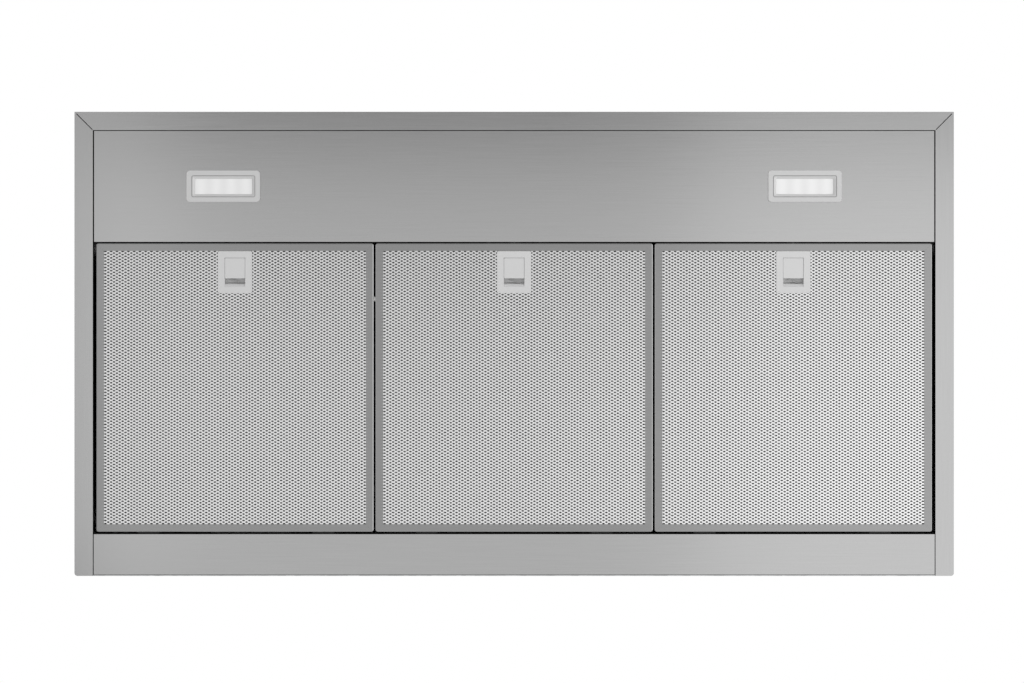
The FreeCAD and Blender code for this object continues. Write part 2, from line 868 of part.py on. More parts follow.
def rear_rail():
    """Stainless strip at the wall. Its ends hang on the lips, and its front flange carries the filters."""
    rail_x = lip_x - d.seam_gap
    inner_x = rail_x - d.panel_sheet
    rail_y = (rail_front, rail_rear)
    flange_y = (rail_front, rail_front + d.panel_sheet)
    ends = []
    for name, side in SIDES:
        wall_x = sorted((side * inner_x, side * rail_x), key=value_of)
        end_x = sorted((side * inner_x, side * seat_x), key=value_of)
        ends.append(box(f"rear_rail_wall_{name}", wall_x, rail_y, (0, seat_z[1])))
        ends.append(box(f"rear_rail_seat_{name}", end_x, rail_y, seat_z))
    face = box("rear_rail_face", (-rail_x, rail_x), rail_y, (0, d.panel_sheet))
    flange = box("rear_rail_flange", (-rail_x, rail_x), flange_y, (0, d.rail_flange))
    piece("rear_rail", fuse("rear_rail", face, flange, *ends))


def top_plate():
    """Zinc-coated tray on the canopy's top flange. It carries the blower inside the chimney."""
    tray = box("plate_tray", (-plate_x, plate_x), (plate_front, plate_rear), (slope_top, upstand_top))
    inner_x = plate_x - d.plate_sheet
    inner_y = (plate_front + d.plate_sheet, plate_rear + CUT_PAST)
    through = (slope_top - CUT_PAST, plate_top + CUT_PAST)
    outlet_x = half_blower - d.scroll_wall
    outlet_y = around(duct_y, outlet_depth - 2 * d.scroll_wall)
    places = plate_screw_places() + blower_screw_places()
    holes = [
        cylinder(f"plate_hole_{n}", "Z", place, d.screw_hole, through)
        for n, place in enumerate(places)
    ]
    side_hole = cylinder(
        "plate_side_hole",
        "X",
        (chimney_screw_y, chimney_screw_z),
        d.screw_hole,
        (-plate_x - CUT_PAST, plate_x + CUT_PAST),
    )
    hollow = box("plate_hollow", (-inner_x, inner_x), inner_y, (plate_top, upstand_top + CUT_PAST))
    outlet = box("plate_outlet", (-outlet_x, outlet_x), outlet_y, through)
    piece("top_plate", cut("top_plate", tray, hollow, outlet, side_hole, *holes))
    screws = [
        screw(f"canopy_screw_{n}", "Z", place, plate_top, 1)
        for n, place in enumerate(plate_screw_places())
    ]
    piece("canopy_screws", group("canopy_screws", screws))


# Filters and latches


def mitre_line(x, y, inward_x, inward_y):
    """A thin outline from an outer corner of a frame to past its opening's corner, at 45 degrees."""
    aside = d.frame_mitre * math.sqrt(0.125)
    run = d.filter_face + CUT_PAST
    end_x = x + inward_x * run
    end_y = y + inward_y * run
    across_x = inward_y * aside
    across_y = -inward_x * aside
    return [
        (x - across_x, y - across_y),
        (x + across_x, y + across_y),
        (end_x + across_x, end_y + across_y),
        (end_x - across_x, end_y - across_y),
    ]


def filter_frame(name, middle):
    """Stainless channel folded round the mesh and mitred at its corners.

    A slot in its front wall lets the latch tongue through.
    """
    body = new_body(f"filter_frame_{name}")
    ys = (filter_front, filter_rear)
    xs = around(middle, filter_width)
    pad(body, "Z", (filter_bottom, filter_top), [rounded(xs, ys, d.frame_corner)])
    dress(body, "Fillet", "Radius", d.frame_edge, at_level("z", filter_bottom))
    opening = rectangle(
        around(middle, filter_width - 2 * d.filter_face),
        (filter_front + d.filter_face, filter_rear - d.filter_face),
    )
    channel = rectangle(
        around(middle, filter_width - 2 * d.frame_sheet),
        (filter_front + d.frame_sheet, filter_rear - d.frame_sheet),
    )
    slot = rectangle(around(middle, d.tongue_width + 2 * d.slider_clearance), tongue_slot)
    pocket(body, "Z", (filter_bottom - CUT_PAST, filter_top + CUT_PAST), [opening])
    pocket(body, "Z", (filter_bottom + d.frame_sheet, filter_top - d.frame_sheet), [channel])
    pocket(body, "Y", (filter_front - CUT_PAST, filter_front + d.frame_sheet + CUT_PAST), [slot])
    seams = [
        mitre_line(middle + side * filter_width / 2, y, -side, way)
        for _, side in SIDES
        for y, way in ((filter_front, 1), (filter_rear, -1))
    ]
    pocket(body, "Z", (filter_bottom - CUT_PAST, filter_bottom + d.mitre_depth), seams)


def flat_face(points, level):
    """A level face inside the corners given as (x, y) numbers."""
    corners = [Vector(x, y, level) for x, y in points]
    return Part.Face(Part.makePolygon([*corners, corners[0]]))


def notched(centre, half, ys, notch, notch_rear):
    """The corners of a rectangle with a notch, given by its half width and rear end, in its front edge."""
    left = [(-half, ys[1]), (-half, ys[0]), (-notch, ys[0]), (-notch, notch_rear)]
    right = [(-x, y) for x, y in reversed(left)]
    return [(centre + x, y) for x, y in left + right]


def filter_mesh(name, middle):
    """The mesh pack: one holed face, thickened, with a notch for the latch.

    The diamonds are drawn large. Whole numbers of them fill the frame's opening, so its edges halve some.
    """
    inset = (d.frame_sheet + d.mesh_clearance).value
    low = filter_bottom.value + inset
    strand = d.mesh_strand.value
    edge = d.filter_face.value + strand / 2
    notch = (d.latch_width / 2 + d.fit_gap).value
    notch_rear = (latch_rear + d.fit_gap).value
    field_width = filter_width.value - 2 * edge
    field_front = filter_front.value + edge
    field_depth = filter_rear.value - edge - field_front
    columns = round(field_width / d.mesh_pitch_x.value)
    rows = round(field_depth / d.mesh_pitch_y.value)
    pitch_x = field_width / columns
    pitch_y = field_depth / rows
    reach_x = (pitch_x - strand) / 2
    reach_y = reach_x * pitch_y / pitch_x
    diamonds = []
    for row in range(2 * rows + 1):
        y = field_front + row * pitch_y / 2
        for column in range(columns + 1):
            x = middle.value + (column + row % 2 / 2) * pitch_x - field_width / 2
            tips = [(x - reach_x, y), (x, y - reach_y), (x + reach_x, y), (x, y + reach_y)]
            diamonds.append(flat_face(tips, low))
    pack_ys = (filter_front.value + inset, filter_rear.value - inset)
    field_ys = (field_front, field_front + field_depth)
    margin = strand / 2
    pack = notched(middle.value, filter_width.value / 2 - inset, pack_ys, notch, notch_rear)
    field = notched(middle.value, field_width / 2, field_ys, notch + margin, notch_rear + margin)
    openings = flat_face(field, low).common(Part.makeCompound(diamonds))
    face = flat_face(pack, low).cut(openings)
    mesh = doc.addObject("Part::Feature", f"filter_mesh_{name}")
    mesh.Shape = face.extrude(Vector(0, 0, d.filter_thickness.value - 2 * inset)).Solids[0]
    piece(f"filter_mesh_{name}", mesh)


def filter_hooks(name, middle):
    """Two flat hooks riveted on the frame's rear top edge. They lie over the rear rail's flange."""
    hooks = []
    for side_name, side in SIDES:
        body = doc.addObject("PartDesign::Body", f"hook_{name}_{side_name}")
        xs = around(middle + side * d.hook_spacing / 2, d.hook_width)
        ys = (filter_rear - d.hook_seat, filter_rear + d.hook_reach)
        pad(body, "Z", (filter_top, filter_top + d.hook_sheet), [rounded(xs, ys, d.hook_sheet)])
        hooks.append(body)
    piece(f"filter_hooks_{name}", group(f"filter_hooks_{name}", hooks))


def filter_bumper():
    """A nylon bumper on the middle filter's left side, which keeps it off its neighbour."""
    wall = -filter_width / 2
    reach = d.filter_gap - d.bumper_clearance
    place = (filter_front + d.bumper_back, filter_bottom + d.filter_thickness / 2)
    bumper = cylinder("filter_bumper", "X", place, d.bumper_radius, (wall - reach, wall))
    piece("filter_bumper", bumper)


def latch_housing(name, middle):
    """Grey moulded housing with a window for the slider and a scooped finger recess behind it."""
    body = new_body(f"latch_housing_{name}")
    outline = rounded(around(middle, d.latch_width), (latch_front, latch_rear), d.latch_corner)
    pad(body, "Z", (latch_face, latch_face + d.latch_depth), [outline])
    room = [
        (window_front, latch_face - CUT_PAST),
        (window_rear, latch_face - CUT_PAST),
        (window_rear, latch_face),
        (scoop_y, scoop_z),
        (slider_rear + d.ramp_setback, window_top),
        (window_front, window_top),
    ]
    pocket(body, "X", around(middle, d.slider_width + 2 * d.slider_clearance), [room])
    slot = rectangle(around(middle, d.tongue_width + 2 * d.slider_clearance), tongue_slot)
    pocket(body, "Y", (latch_front - CUT_PAST, window_front + CUT_PAST), [slot])


def latch_slider(name, middle):
    """The square thumb slider, with a tongue that runs forward through the frame to the catch."""
    body = new_body(f"latch_slider_{name}")
    plate = rounded(around(middle, d.slider_width), (slider_front, slider_rear), d.slider_corner)
    pad(body, "Z", (tongue_low - d.slider_plate, tongue_low), [plate])
    tip = panel_rear + d.tongue_gap
    tongue = rectangle(around(middle, d.tongue_width), (tip, window_front + d.tongue_root))
    pad(body, "Z", (tongue_low, tongue_high), [tongue])

    def leading_edge(edge):
        return at_level("y", tip)(edge) and at_level("z", tongue_high)(edge)

    dress(body, "Chamfer", "Size", d.tongue_lead, leading_edge)


def latch_spring(name, middle):
    """A folded wire spring between the tongue's root and the ramp's foot."""
    body = new_body(f"latch_spring_{name}")
    low = tongue_low + d.slider_clearance
    high = low + d.spring_height
    ramp_foot = slider_rear + d.ramp_setback
    ramp_run = (scoop_y - ramp_foot) * (window_top - high) / (window_top - scoop_z)
    start = window_front + d.tongue_root + d.fit_gap
    stop = ramp_foot + ramp_run - d.fit_gap
    fold = (stop - start) / SPRING_FOLDS
    swing = d.tongue_width / 2 - d.spring_inset
    run = (fold * fold + 4 * swing * swing).root()
    aside = d.spring_wire / 2 * run / fold
    line = [(middle + swing * (-1) ** n, start + n * fold) for n in range(SPRING_FOLDS + 1)]
    right = [(x + aside, y) for x, y in line]
    left = [(x - aside, y) for x, y in reversed(line)]
    pad(body, "Z", (low, high), [right + left])


# Lamps


def light_bezel(name, middle):
    """Pale moulded frame: a grooved flange under the panel, a funnel to the lens and a neck."""
    body = new_body(f"light_bezel_{name}")
    face = -d.bezel_proud
    step = face + d.bezel_step
    flange = rounded(around(middle, d.bezel_width), around(lamp_y, d.bezel_depth), d.bezel_corner)
    neck = rounded(around(middle, neck_width), around(lamp_y, neck_depth), d.neck_corner)
    stepped = rounded(
        around(middle, d.bezel_width - 2 * d.step_margin),
        around(lamp_y, d.bezel_depth - 2 * d.step_margin),
        d.neck_corner,
    )
    ring = d.step_margin + d.bezel_groove
    inside_groove = rounded(
        around(middle, d.bezel_width - 2 * ring),
        around(lamp_y, d.bezel_depth - 2 * ring),
        d.neck_corner - d.bezel_groove,
    )
    window = rounded(around(middle, d.lens_width), around(lamp_y, d.lens_depth), d.lens_corner)
    cavity = rounded(around(middle, cavity_width), around(lamp_y, cavity_depth), d.lens_corner)
    pad(body, "Z", (face, 0), [flange])
    pad(body, "Z", (0, d.neck_height), [neck])
    pocket(body, "Z", (face - CUT_PAST, step), [stepped])
    pocket(body, "Z", (face - CUT_PAST, face + d.groove_depth), [stepped, inside_groove])
    pocket(body, "Z", (face - CUT_PAST, lens_seat + CUT_PAST), [window])
    pocket(body, "Z", (lens_seat, d.neck_height + CUT_PAST), [cavity])

    def window_edge(edge):
        inside = edge.BoundBox.XMax - middle.value < d.lens_width.value / 2 + 0.01
        inside = inside and middle.value - edge.BoundBox.XMin < d.lens_width.value / 2 + 0.01
        return inside and at_level("z", step)(edge)

    dress(body, "Chamfer", "Size", d.funnel, window_edge)


def light_lens(name, middle):
    """Frosted cover that lies on the bezel's ledge."""
    body = new_body(f"light_lens_{name}")
    xs = around(middle, cavity_width - 2 * d.fit_gap)
    ys = around(lamp_y, cavity_depth - 2 * d.fit_gap)
    pad(body, "Z", (lens_seat, lens_seat + d.lens_sheet), [rounded(xs, ys, d.lens_corner)])


def light_board(name, middle):
    """Circuit board with four LEDs on its underside."""
    xs = around(middle, cavity_width - 4 * d.fit_gap)
    ys = around(lamp_y, cavity_depth - 4 * d.fit_gap)
    board = box(f"light_board_sheet_{name}", xs, ys, (lamp_board - d.board_sheet, lamp_board))
    low = lamp_board - d.board_sheet
    leds = [
        box(
            f"led_{name}_{n}",
            around(middle + (n - (LED_COUNT - 1) / 2) * d.led_pitch, d.led_size),
            around(lamp_y, d.led_size),
            (low - d.led_height, low),
        )
        for n in range(LED_COUNT)
    ]
    piece(f"light_board_{name}", fuse(f"light_board_{name}", board, *leds))


def light_housing(name, middle):
    """Aluminium cap that carries the board and closes the neck. Its two spring clips press on the panel."""
    body = new_body(f"light_housing_{name}")
    cap_top = d.neck_height + d.lamp_cap
    neck = rounded(around(middle, neck_width), around(lamp_y, neck_depth), d.neck_corner)
    spigot = rounded(
        around(middle, cavity_width - 2 * d.fit_gap),
        around(lamp_y, cavity_depth - 2 * d.fit_gap),
        d.lens_corner,
    )
    pad(body, "Z", (d.neck_height, cap_top), [neck])
    pad(body, "Z", (lamp_board, d.neck_height), [spigot])
    root_z = d.neck_height + 2 * d.clip_sheet
    foot_z = d.panel_sheet + d.fit_gap
    clips = []
    for side in (-1, 1):
        root = middle + side * (neck_width / 2 - d.clip_sheet)
        foot = middle + side * (neck_width / 2 + d.clip_reach)
        under = [(root, root_z), (foot, foot_z)]
        over = [(foot, foot_z + d.clip_sheet), (root, root_z + 2 * d.clip_sheet)]
        clips.append(under + over)
    pad(body, "Y", around(lamp_y, d.clip_width), clips)


# Controls


def control_housing():
    """Black moulded tray behind the front band, open to the rear."""
    body = new_body("control_housing")
    front = (-control_x, control_x)
    tall = around(button_height, d.control_height)
    inner_x = control_x - d.control_wall
    inner = rectangle((-inner_x, inner_x), around(button_height, d.control_height - 2 * d.control_wall))
    hole_radius = d.button_radius + d.button_clearance
    holes = [Disc((button_x(n), button_height), hole_radius) for n in range(len(BUTTONS))]
    pad(body, "Y", (band_inside, control_rear), [rounded(front, tall, d.control_corner)])
    pocket(body, "Y", (control_inside, control_rear + CUT_PAST), [inner])
    pocket(body, "Y", (band_inside - CUT_PAST, control_inside + CUT_PAST), holes)


def control_board_piece():
    """Circuit board that closes the tray, with one switch behind each button."""
    board_x = control_x - d.control_wall - d.fit_gap
    tall = around(button_height, d.control_height - 2 * d.control_wall - 2 * d.fit_gap)
    sheet_box = box("control_board_sheet", (-board_x, board_x), (control_board, control_rear), tall)
    switches = [
        box(
            f"switch_{name}",
            around(button_x(n), d.switch_size),
            (switch_front, control_board),
            around(button_height, d.switch_size),
        )
        for n, name in enumerate(BUTTONS)
    ]
    piece("control_board", fuse("control_board", sheet_box, *switches))


def button(index, name):
    """A flush push button, held by a flange behind the tray's front wall."""
    body = new_body(f"button_{name}")
    brim = d.button_radius + d.button_brim
    profile = [
        (0, d.button_sink - d.hood_depth),
        (d.button_radius, d.button_sink - d.hood_depth),
        (d.button_radius, button_flange),
        (brim, button_flange),
        (brim, button_stem),
        (d.button_stem_radius, button_stem),
        (d.button_stem_radius, button_stem + d.button_stem),
        (0, button_stem + d.button_stem),
    ]
    revolve(body, "Y", (button_x(index), button_height), profile)


# Blower


def blower_screw_places():
    return [(side * blower_screw_x, duct_y + end * blower_screw_y) for _, side in SIDES for end in (-1, 1)]


def scroll_outline(inset):
    """The spiral casing about the wheel's centre: three growing quarter arcs, then the outlet."""
    grow = d.scroll_step
    first = d.scroll_start - inset
    second = first + grow
    third = second + grow
    spiral = [
        (-grow, first - grow / 2, first),
        (-second, -grow / 2, second),
        (0, -grow / 2 - second, third),
        (third, grow / 2),
    ]
    outlet = [(third, d.blower_hang), (inset - grow, d.blower_hang)]
    cutoff = [(inset - grow, first - grow / 2)] if inset else []
    return spiral + outlet + cutoff


def blower_scroll():
    """Zinc-coated spiral casing with the left inlet and the outlet flanges, open to the right."""
    body = new_body("blower_scroll")
    centre = (wheel_y, wheel_z)
    inner_x = (d.scroll_wall - half_blower, half_blower + CUT_PAST)
    pad(body, "X", (-half_blower, half_blower), [scroll_outline(0)], centre)
    flange_z = (slope_top - d.scroll_wall, slope_top)
    near_y = wheel_y - d.scroll_step
    far_y = wheel_y + scroll_end
    for ys in ((near_y - d.scroll_flange, near_y), (far_y, far_y + d.scroll_flange)):
        pad(body, "Z", flange_z, [rectangle((-half_blower, half_blower), ys)])
    pocket(body, "X", inner_x, [scroll_outline(d.scroll_wall)], centre)
    inlet_x = (-half_blower - CUT_PAST, inner_x[0] + CUT_PAST)
    pocket(body, "X", inlet_x, [Disc((0, 0), d.inlet_radius)], centre)
    holes = [Disc(place, d.screw_hole) for place in blower_screw_places()]
    pocket(body, "Z", (flange_z[0] - CUT_PAST, slope_top + CUT_PAST), holes)


def blower_cover():
    """Right side of the casing, with the second inlet and its raised rim."""
    body = new_body("blower_cover")
    centre = (wheel_y, wheel_z)
    outer = half_blower + d.scroll_wall
    pad(body, "X", (half_blower, outer), [scroll_outline(0)], centre)
    rim = outer + d.inlet_lip
    pad(body, "X", (outer, rim), [Disc((0, 0), d.inlet_radius + d.inlet_rim)], centre)
    pocket(body, "X", (half_blower - CUT_PAST, rim + CUT_PAST), [Disc((0, 0), d.inlet_radius)], centre)


def impeller():
    """Squirrel-cage wheel: a hub disc, forward-curved blades over the whole width and a rim at each end."""
    body = new_body("impeller")
    centre = (wheel_y, wheel_z)
    half = d.wheel_width / 2
    bore = d.shaft_radius + d.press_clearance
    disc_x = hub_front + (d.hub_length - d.hub_disc) / 2
    profile = [
        (hub_front, bore),
        (hub_front + d.hub_length, bore),
        (hub_front + d.hub_length, d.hub_radius),
        (disc_x + d.hub_disc, d.hub_radius),
        (disc_x + d.hub_disc, d.wheel_radius),
        (disc_x, d.wheel_radius),
        (disc_x, d.hub_radius),
        (hub_front, d.hub_radius),
    ]
    revolve(body, "X", centre, profile)
    tip_y = (d.wheel_radius * d.wheel_radius - d.blade_lead * d.blade_lead).root() - d.blade_sheet
    blade = [
        (d.wheel_inner, 0, d.blade_bend),
        (tip_y, d.blade_lead),
        (tip_y - d.blade_sheet / 2, d.blade_lead + d.blade_sheet),
        (d.wheel_inner - d.blade_sheet / 2, d.blade_sheet),
    ]
    feature = pad(body, "X", (-half, half), [blade], centre)
    ring_of(body, feature, feature.Profile[0], d.blade_count)
    for xs in ((-half, d.wheel_rim - half), (half - d.wheel_rim, half)):
        pad(body, "X", xs, [Disc((0, 0), d.wheel_radius), Disc((0, 0), d.wheel_inner)], centre)


def motor():
    """Closed motor inside the wheel's left half, with a bore for its shaft."""
    body = new_body("motor")
    rear = -half_blower
    bore = d.shaft_radius + d.running_clearance
    profile = [
        (rear, bore),
        (motor_front, bore),
        (motor_front, d.motor_radius - d.motor_shoulder),
        (motor_front - d.motor_shoulder, d.motor_radius),
        (rear + d.motor_shoulder, d.motor_radius),
        (rear, d.motor_radius - d.motor_shoulder),
    ]
    revolve(body, "X", (wheel_y, wheel_z), profile)
    tail = d.shaft_tail - half_blower
    span = (tail, hub_front + d.hub_length + d.shaft_tail)
    piece("motor_shaft", cylinder("motor_shaft", "X", (wheel_y, wheel_z), d.shaft_radius, span))


def motor_bracket():
    """Three-armed plate that holds the motor in the left inlet."""
    body = new_body("motor_bracket")
    centre = (wheel_y, wheel_z)
    span = (-half_blower - d.bracket_sheet, -half_blower)
    pad(body, "X", span, [Disc((0, 0), d.bracket_disc)], centre)
    arm = rectangle((0, d.bracket_reach), around(0, d.bracket_arm))
    feature = pad(body, "X", span, [arm], centre)
    ring_of(body, feature, feature.Profile[0], BRACKET_ARMS)


# Duct collar and damper


def duct_collar():
    """Round spigot for the duct, with a ledge that the closed damper lies on and holes for its rod."""
    body = new_body("duct_collar")
    centre = (0, duct_y)
    ledge_top = rod_z - d.damper_sheet / 2 - d.damper_rest
    ledge_low = ledge_top - d.damper_ledge / 2
    collar_top = plate_top + d.collar_height
    profile = [
        (collar_inner, plate_top),
        (d.collar_flange, plate_top),
        (d.collar_flange, plate_top + d.collar_sheet),
        (d.collar_radius, plate_top + d.collar_sheet),
        (d.collar_radius, collar_top),
        (collar_inner, collar_top),
        (collar_inner, ledge_top),
        (collar_inner - d.damper_ledge, ledge_top),
        (collar_inner, ledge_low - d.damper_ledge),
    ]
    revolve(body, "Z", centre, profile)
    rod_hole = Disc((duct_y, rod_z), d.rod_radius + d.running_clearance)
    pocket(body, "X", (-d.collar_radius - CUT_PAST, d.collar_radius + CUT_PAST), [rod_hole])
    holes = [Disc(place, d.screw_hole) for place in blower_screw_places()]
    seat = plate_top + d.collar_sheet
    pocket(body, "Z", (plate_top - CUT_PAST, seat + CUT_PAST), holes)
    screws = [
        screw(f"blower_screw_{n}", "Z", place, seat, 1)
        for n, place in enumerate(blower_screw_places())
    ]
    piece("blower_screws", group("blower_screws", screws))
    rod_x = d.collar_radius - d.fit_gap
    piece("damper_rod", cylinder("damper_rod", "X", (duct_y, rod_z), d.rod_radius, (-rod_x, rod_x)))


def damper_flap(name, side, knuckles):
    """A half-moon flap on the rod.

    Side is -1 for the front and 1 for the rear. Knuckles are places along the rod, in steps of their pitch.
    """
    body = new_body(f"damper_flap_{name}")
    radius = collar_inner - d.damper_gap
    edge_y = d.knuckle_radius + d.damper_rest
    chord = (radius * radius - edge_y * edge_y).root()
    sheet_z = around(rod_z, d.damper_sheet)
    moon = [
        (side * chord, duct_y + side * edge_y, radius),
        (0, duct_y + side * radius, radius),
        (-side * chord, duct_y + side * edge_y),
    ]
    pad(body, "Z", sheet_z, [moon])
    for place in knuckles:
        span = around(place * d.knuckle_pitch, d.knuckle_length)
        bridge_y = sorted((duct_y, duct_y + side * (edge_y + d.damper_sheet)), key=value_of)
        pad(body, "Z", sheet_z, [rectangle(span, bridge_y)])
        pad(body, "X", span, [Disc((duct_y, rod_z), d.knuckle_radius)])
    bore = Disc((duct_y, rod_z), d.rod_radius + d.running_clearance)
    pocket(body, "X", (-d.collar_radius, d.collar_radius), [bore])


# Chimney


def chimney_profile(half, front, back):
    """A three-sided sheet seen from above, with returns along the wall and bent front corners."""
    sheet_t = d.chimney_sheet
    bend = d.chimney_bend
    inner_bend = bend - sheet_t
    turned = half - d.chimney_return
    return [
        (-turned, back),
        (-half, back),
        (-half, front + bend, bend),
        (bend - half, front),
        (half - bend, front, bend),
        (half, front + bend),
        (half, back),
        (turned, back),
        (turned, back - sheet_t),
        (half - sheet_t, back - sheet_t),
        (half - sheet_t, front + bend, -inner_bend),
        (half - bend, front + sheet_t),
        (bend - half, front + sheet_t, -inner_bend),
        (sheet_t - half, front + bend),
        (sheet_t - half, back - sheet_t),
        (-turned, back - sheet_t),
    ]


def lower_chimney():
    """Stainless lower cover, which stands on the canopy round the top plate's upstand."""
    body = new_body("lower_chimney")
    span = (slope_top, slope_top + d.lower_chimney_height)
    pad(body, "Z", span, [chimney_profile(half_chimney, -d.chimney_depth, 0)])
    across = (-half_chimney - CUT_PAST, half_chimney + CUT_PAST)
    pocket(body, "X", across, [Disc((chimney_screw_y, chimney_screw_z), d.screw_hole)])
    screws = [
        screw(f"cover_screw_{name}", "X", (chimney_screw_y, chimney_screw_z), side * half_chimney, side)
        for name, side in SIDES
    ]
    piece("cover_screws", group("cover_screws", screws))


def upper_chimney():
    """Stainless upper cover, which slides inside the lower one and has vent slots near its top."""
    body = new_body("upper_chimney")
    pad(body, "Z", (upper_low, upper_top), [chimney_profile(upper_half, upper_front, upper_back)])
    across = (-upper_half - CUT_PAST, upper_half + CUT_PAST)
    slots = []
    for row in range(VENT_ROWS):
        high = upper_top - d.vent_top - row * d.vent_pitch
        slots.append(rectangle(around(upper_front / 2, d.vent_length), (high - d.vent_height, high)))
    pocket(body, "X", across, [*slots, Disc((ear_screw_y, bracket_middle), d.screw_hole)])
    screws = [
        screw(f"bracket_screw_{name}", "X", (ear_screw_y, bracket_middle), side * upper_half, side)
        for name, side in SIDES
    ]
    piece("bracket_screws", group("bracket_screws", screws))


def chimney_bracket():
    """Zinc-coated hat-section bracket that ties the upper cover to the wall."""
    body = new_body("chimney_bracket")
    sheet_t = d.bracket_sheet
    half = d.wall_bracket_half
    arm = -d.wall_bracket_arm
    right = [
        (half - sheet_t, -sheet_t),
        (half - sheet_t, arm - sheet_t),
        (ear_x - sheet_t, arm - sheet_t),
        (ear_x - sheet_t, ear_front),
        (ear_x, ear_front),
        (ear_x, arm),
        (half, arm),
        (half, 0),
    ]
    left = [(-x, y) for x, y in reversed(right)]
    pad(body, "Z", (bracket_low, bracket_high), [left + right])
    wall_holes = [
        Disc((side * d.wall_bracket_spacing / 2, bracket_middle), d.wall_bracket_screw) for _, side in SIDES
    ]
    pocket(body, "Y", (-sheet_t - CUT_PAST, CUT_PAST), wall_holes)
    across = (-ear_x - CUT_PAST, ear_x + CUT_PAST)
    pocket(body, "X", across, [Disc((ear_screw_y, bracket_middle), d.screw_hole)])


# Wiring


def wiring_box():
    """Zinc-coated box on the back panel with its cover, the cable bushing and the motor's capacitor."""
    sheet_t = d.wiring_sheet
    outer = box("wiring_outer", wiring_span, (wiring_front, wiring_rear), (d.wiring_low, wiring_top))
    inner = box(
        "wiring_inner",
        (wiring_span[0] + sheet_t, wiring_span[1] - sheet_t),
        (wiring_front - CUT_PAST, wiring_rear - sheet_t),
        (d.wiring_low + sheet_t, wiring_top - sheet_t),
    )
    hole = cylinder(
        "wiring_hole",
        "Y",
        (bushing_x, bushing_z),
        d.bushing_radius + d.bushing_clearance,
        (wiring_rear - sheet_t - CUT_PAST, wiring_rear + CUT_PAST),
    )
    piece("wiring_box", cut("wiring_box", outer, inner, hole))
    cover_y = (wiring_front - sheet_t, wiring_front)
    cover = box("wiring_box_cover", wiring_span, cover_y, (d.wiring_low, wiring_top))
    piece("wiring_box_cover", cover)
    bushing = new_body("cable_bushing")
    inside = wiring_rear - sheet_t
    flange = inside - d.bushing_clearance
    profile = [
        (d.bushing_bore, -d.bushing_length),
        (d.bushing_radius, -d.bushing_length),
        (d.bushing_flange, flange - sheet_t),
        (d.bushing_flange, flange),
        (d.bushing_radius, flange),
        (d.bushing_radius, 0),
        (d.bushing_bore, 0),
    ]
    revolve(bushing, "Y", (bushing_x, bushing_z), profile)
    capacitor_y = (wiring_front + wiring_rear) / 2
    capacitor_z = d.wiring_low + sheet_t + d.capacitor_radius + d.fit_gap
    start = wiring_span[0] + sheet_t + d.fit_gap
    piece(
        "motor_capacitor",
        cylinder(
            "motor_capacitor",
            "X",
            (capacitor_y, capacitor_z),
            d.capacitor_radius,
            (start, start + d.capacitor_length),
        ),
    )


# Assembly

canopy_skin()
back_panel()
light_panel()
rear_rail()
top_plate()
for filter_name, step in FILTERS:
    filter_middle = step * filter_pitch
    filter_frame(filter_name, filter_middle)
    filter_mesh(filter_name, filter_middle)
    filter_hooks(filter_name, filter_middle)
    latch_housing(filter_name, filter_middle)
    latch_slider(filter_name, filter_middle)
    latch_spring(filter_name, filter_middle)
filter_bumper()
for lamp_name, side in SIDES:
    lamp_middle = side * d.lamp_spacing / 2
    light_bezel(lamp_name, lamp_middle)
    light_lens(lamp_name, lamp_middle)
    light_board(lamp_name, lamp_middle)
    light_housing(lamp_name, lamp_middle)
control_housing()
control_board_piece()
for button_index, button_name in enumerate(BUTTONS):
    button(button_index, button_name)
blower_scroll()
blower_cover()
impeller()
motor()
motor_bracket()
duct_collar()
damper_flap("front", -1, (-1.5, 0.5))
damper_flap("rear", 1, (-0.5, 1.5))
lower_chimney()
upper_chimney()
chimney_bracket()
wiring_box()
doc.recompute()

# Check and write

failed = [item.Label for item in doc.Objects if {"Invalid", "Error"} & set(item.State)]
if failed:
    raise ValueError(f"objects failed to build: {failed}")
for finished in PIECES:
    if finished.Shape.isNull() or not finished.Shape.isValid():
        raise ValueError(f"{finished.Label} has no valid shape")
os.makedirs("parts", exist_ok=True)
for finished in PIECES:
    finished.Shape.exportStep(f"parts/{finished.Label}.step")
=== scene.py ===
import math

import bmesh
import bpy
from mathutils import Matrix, Vector


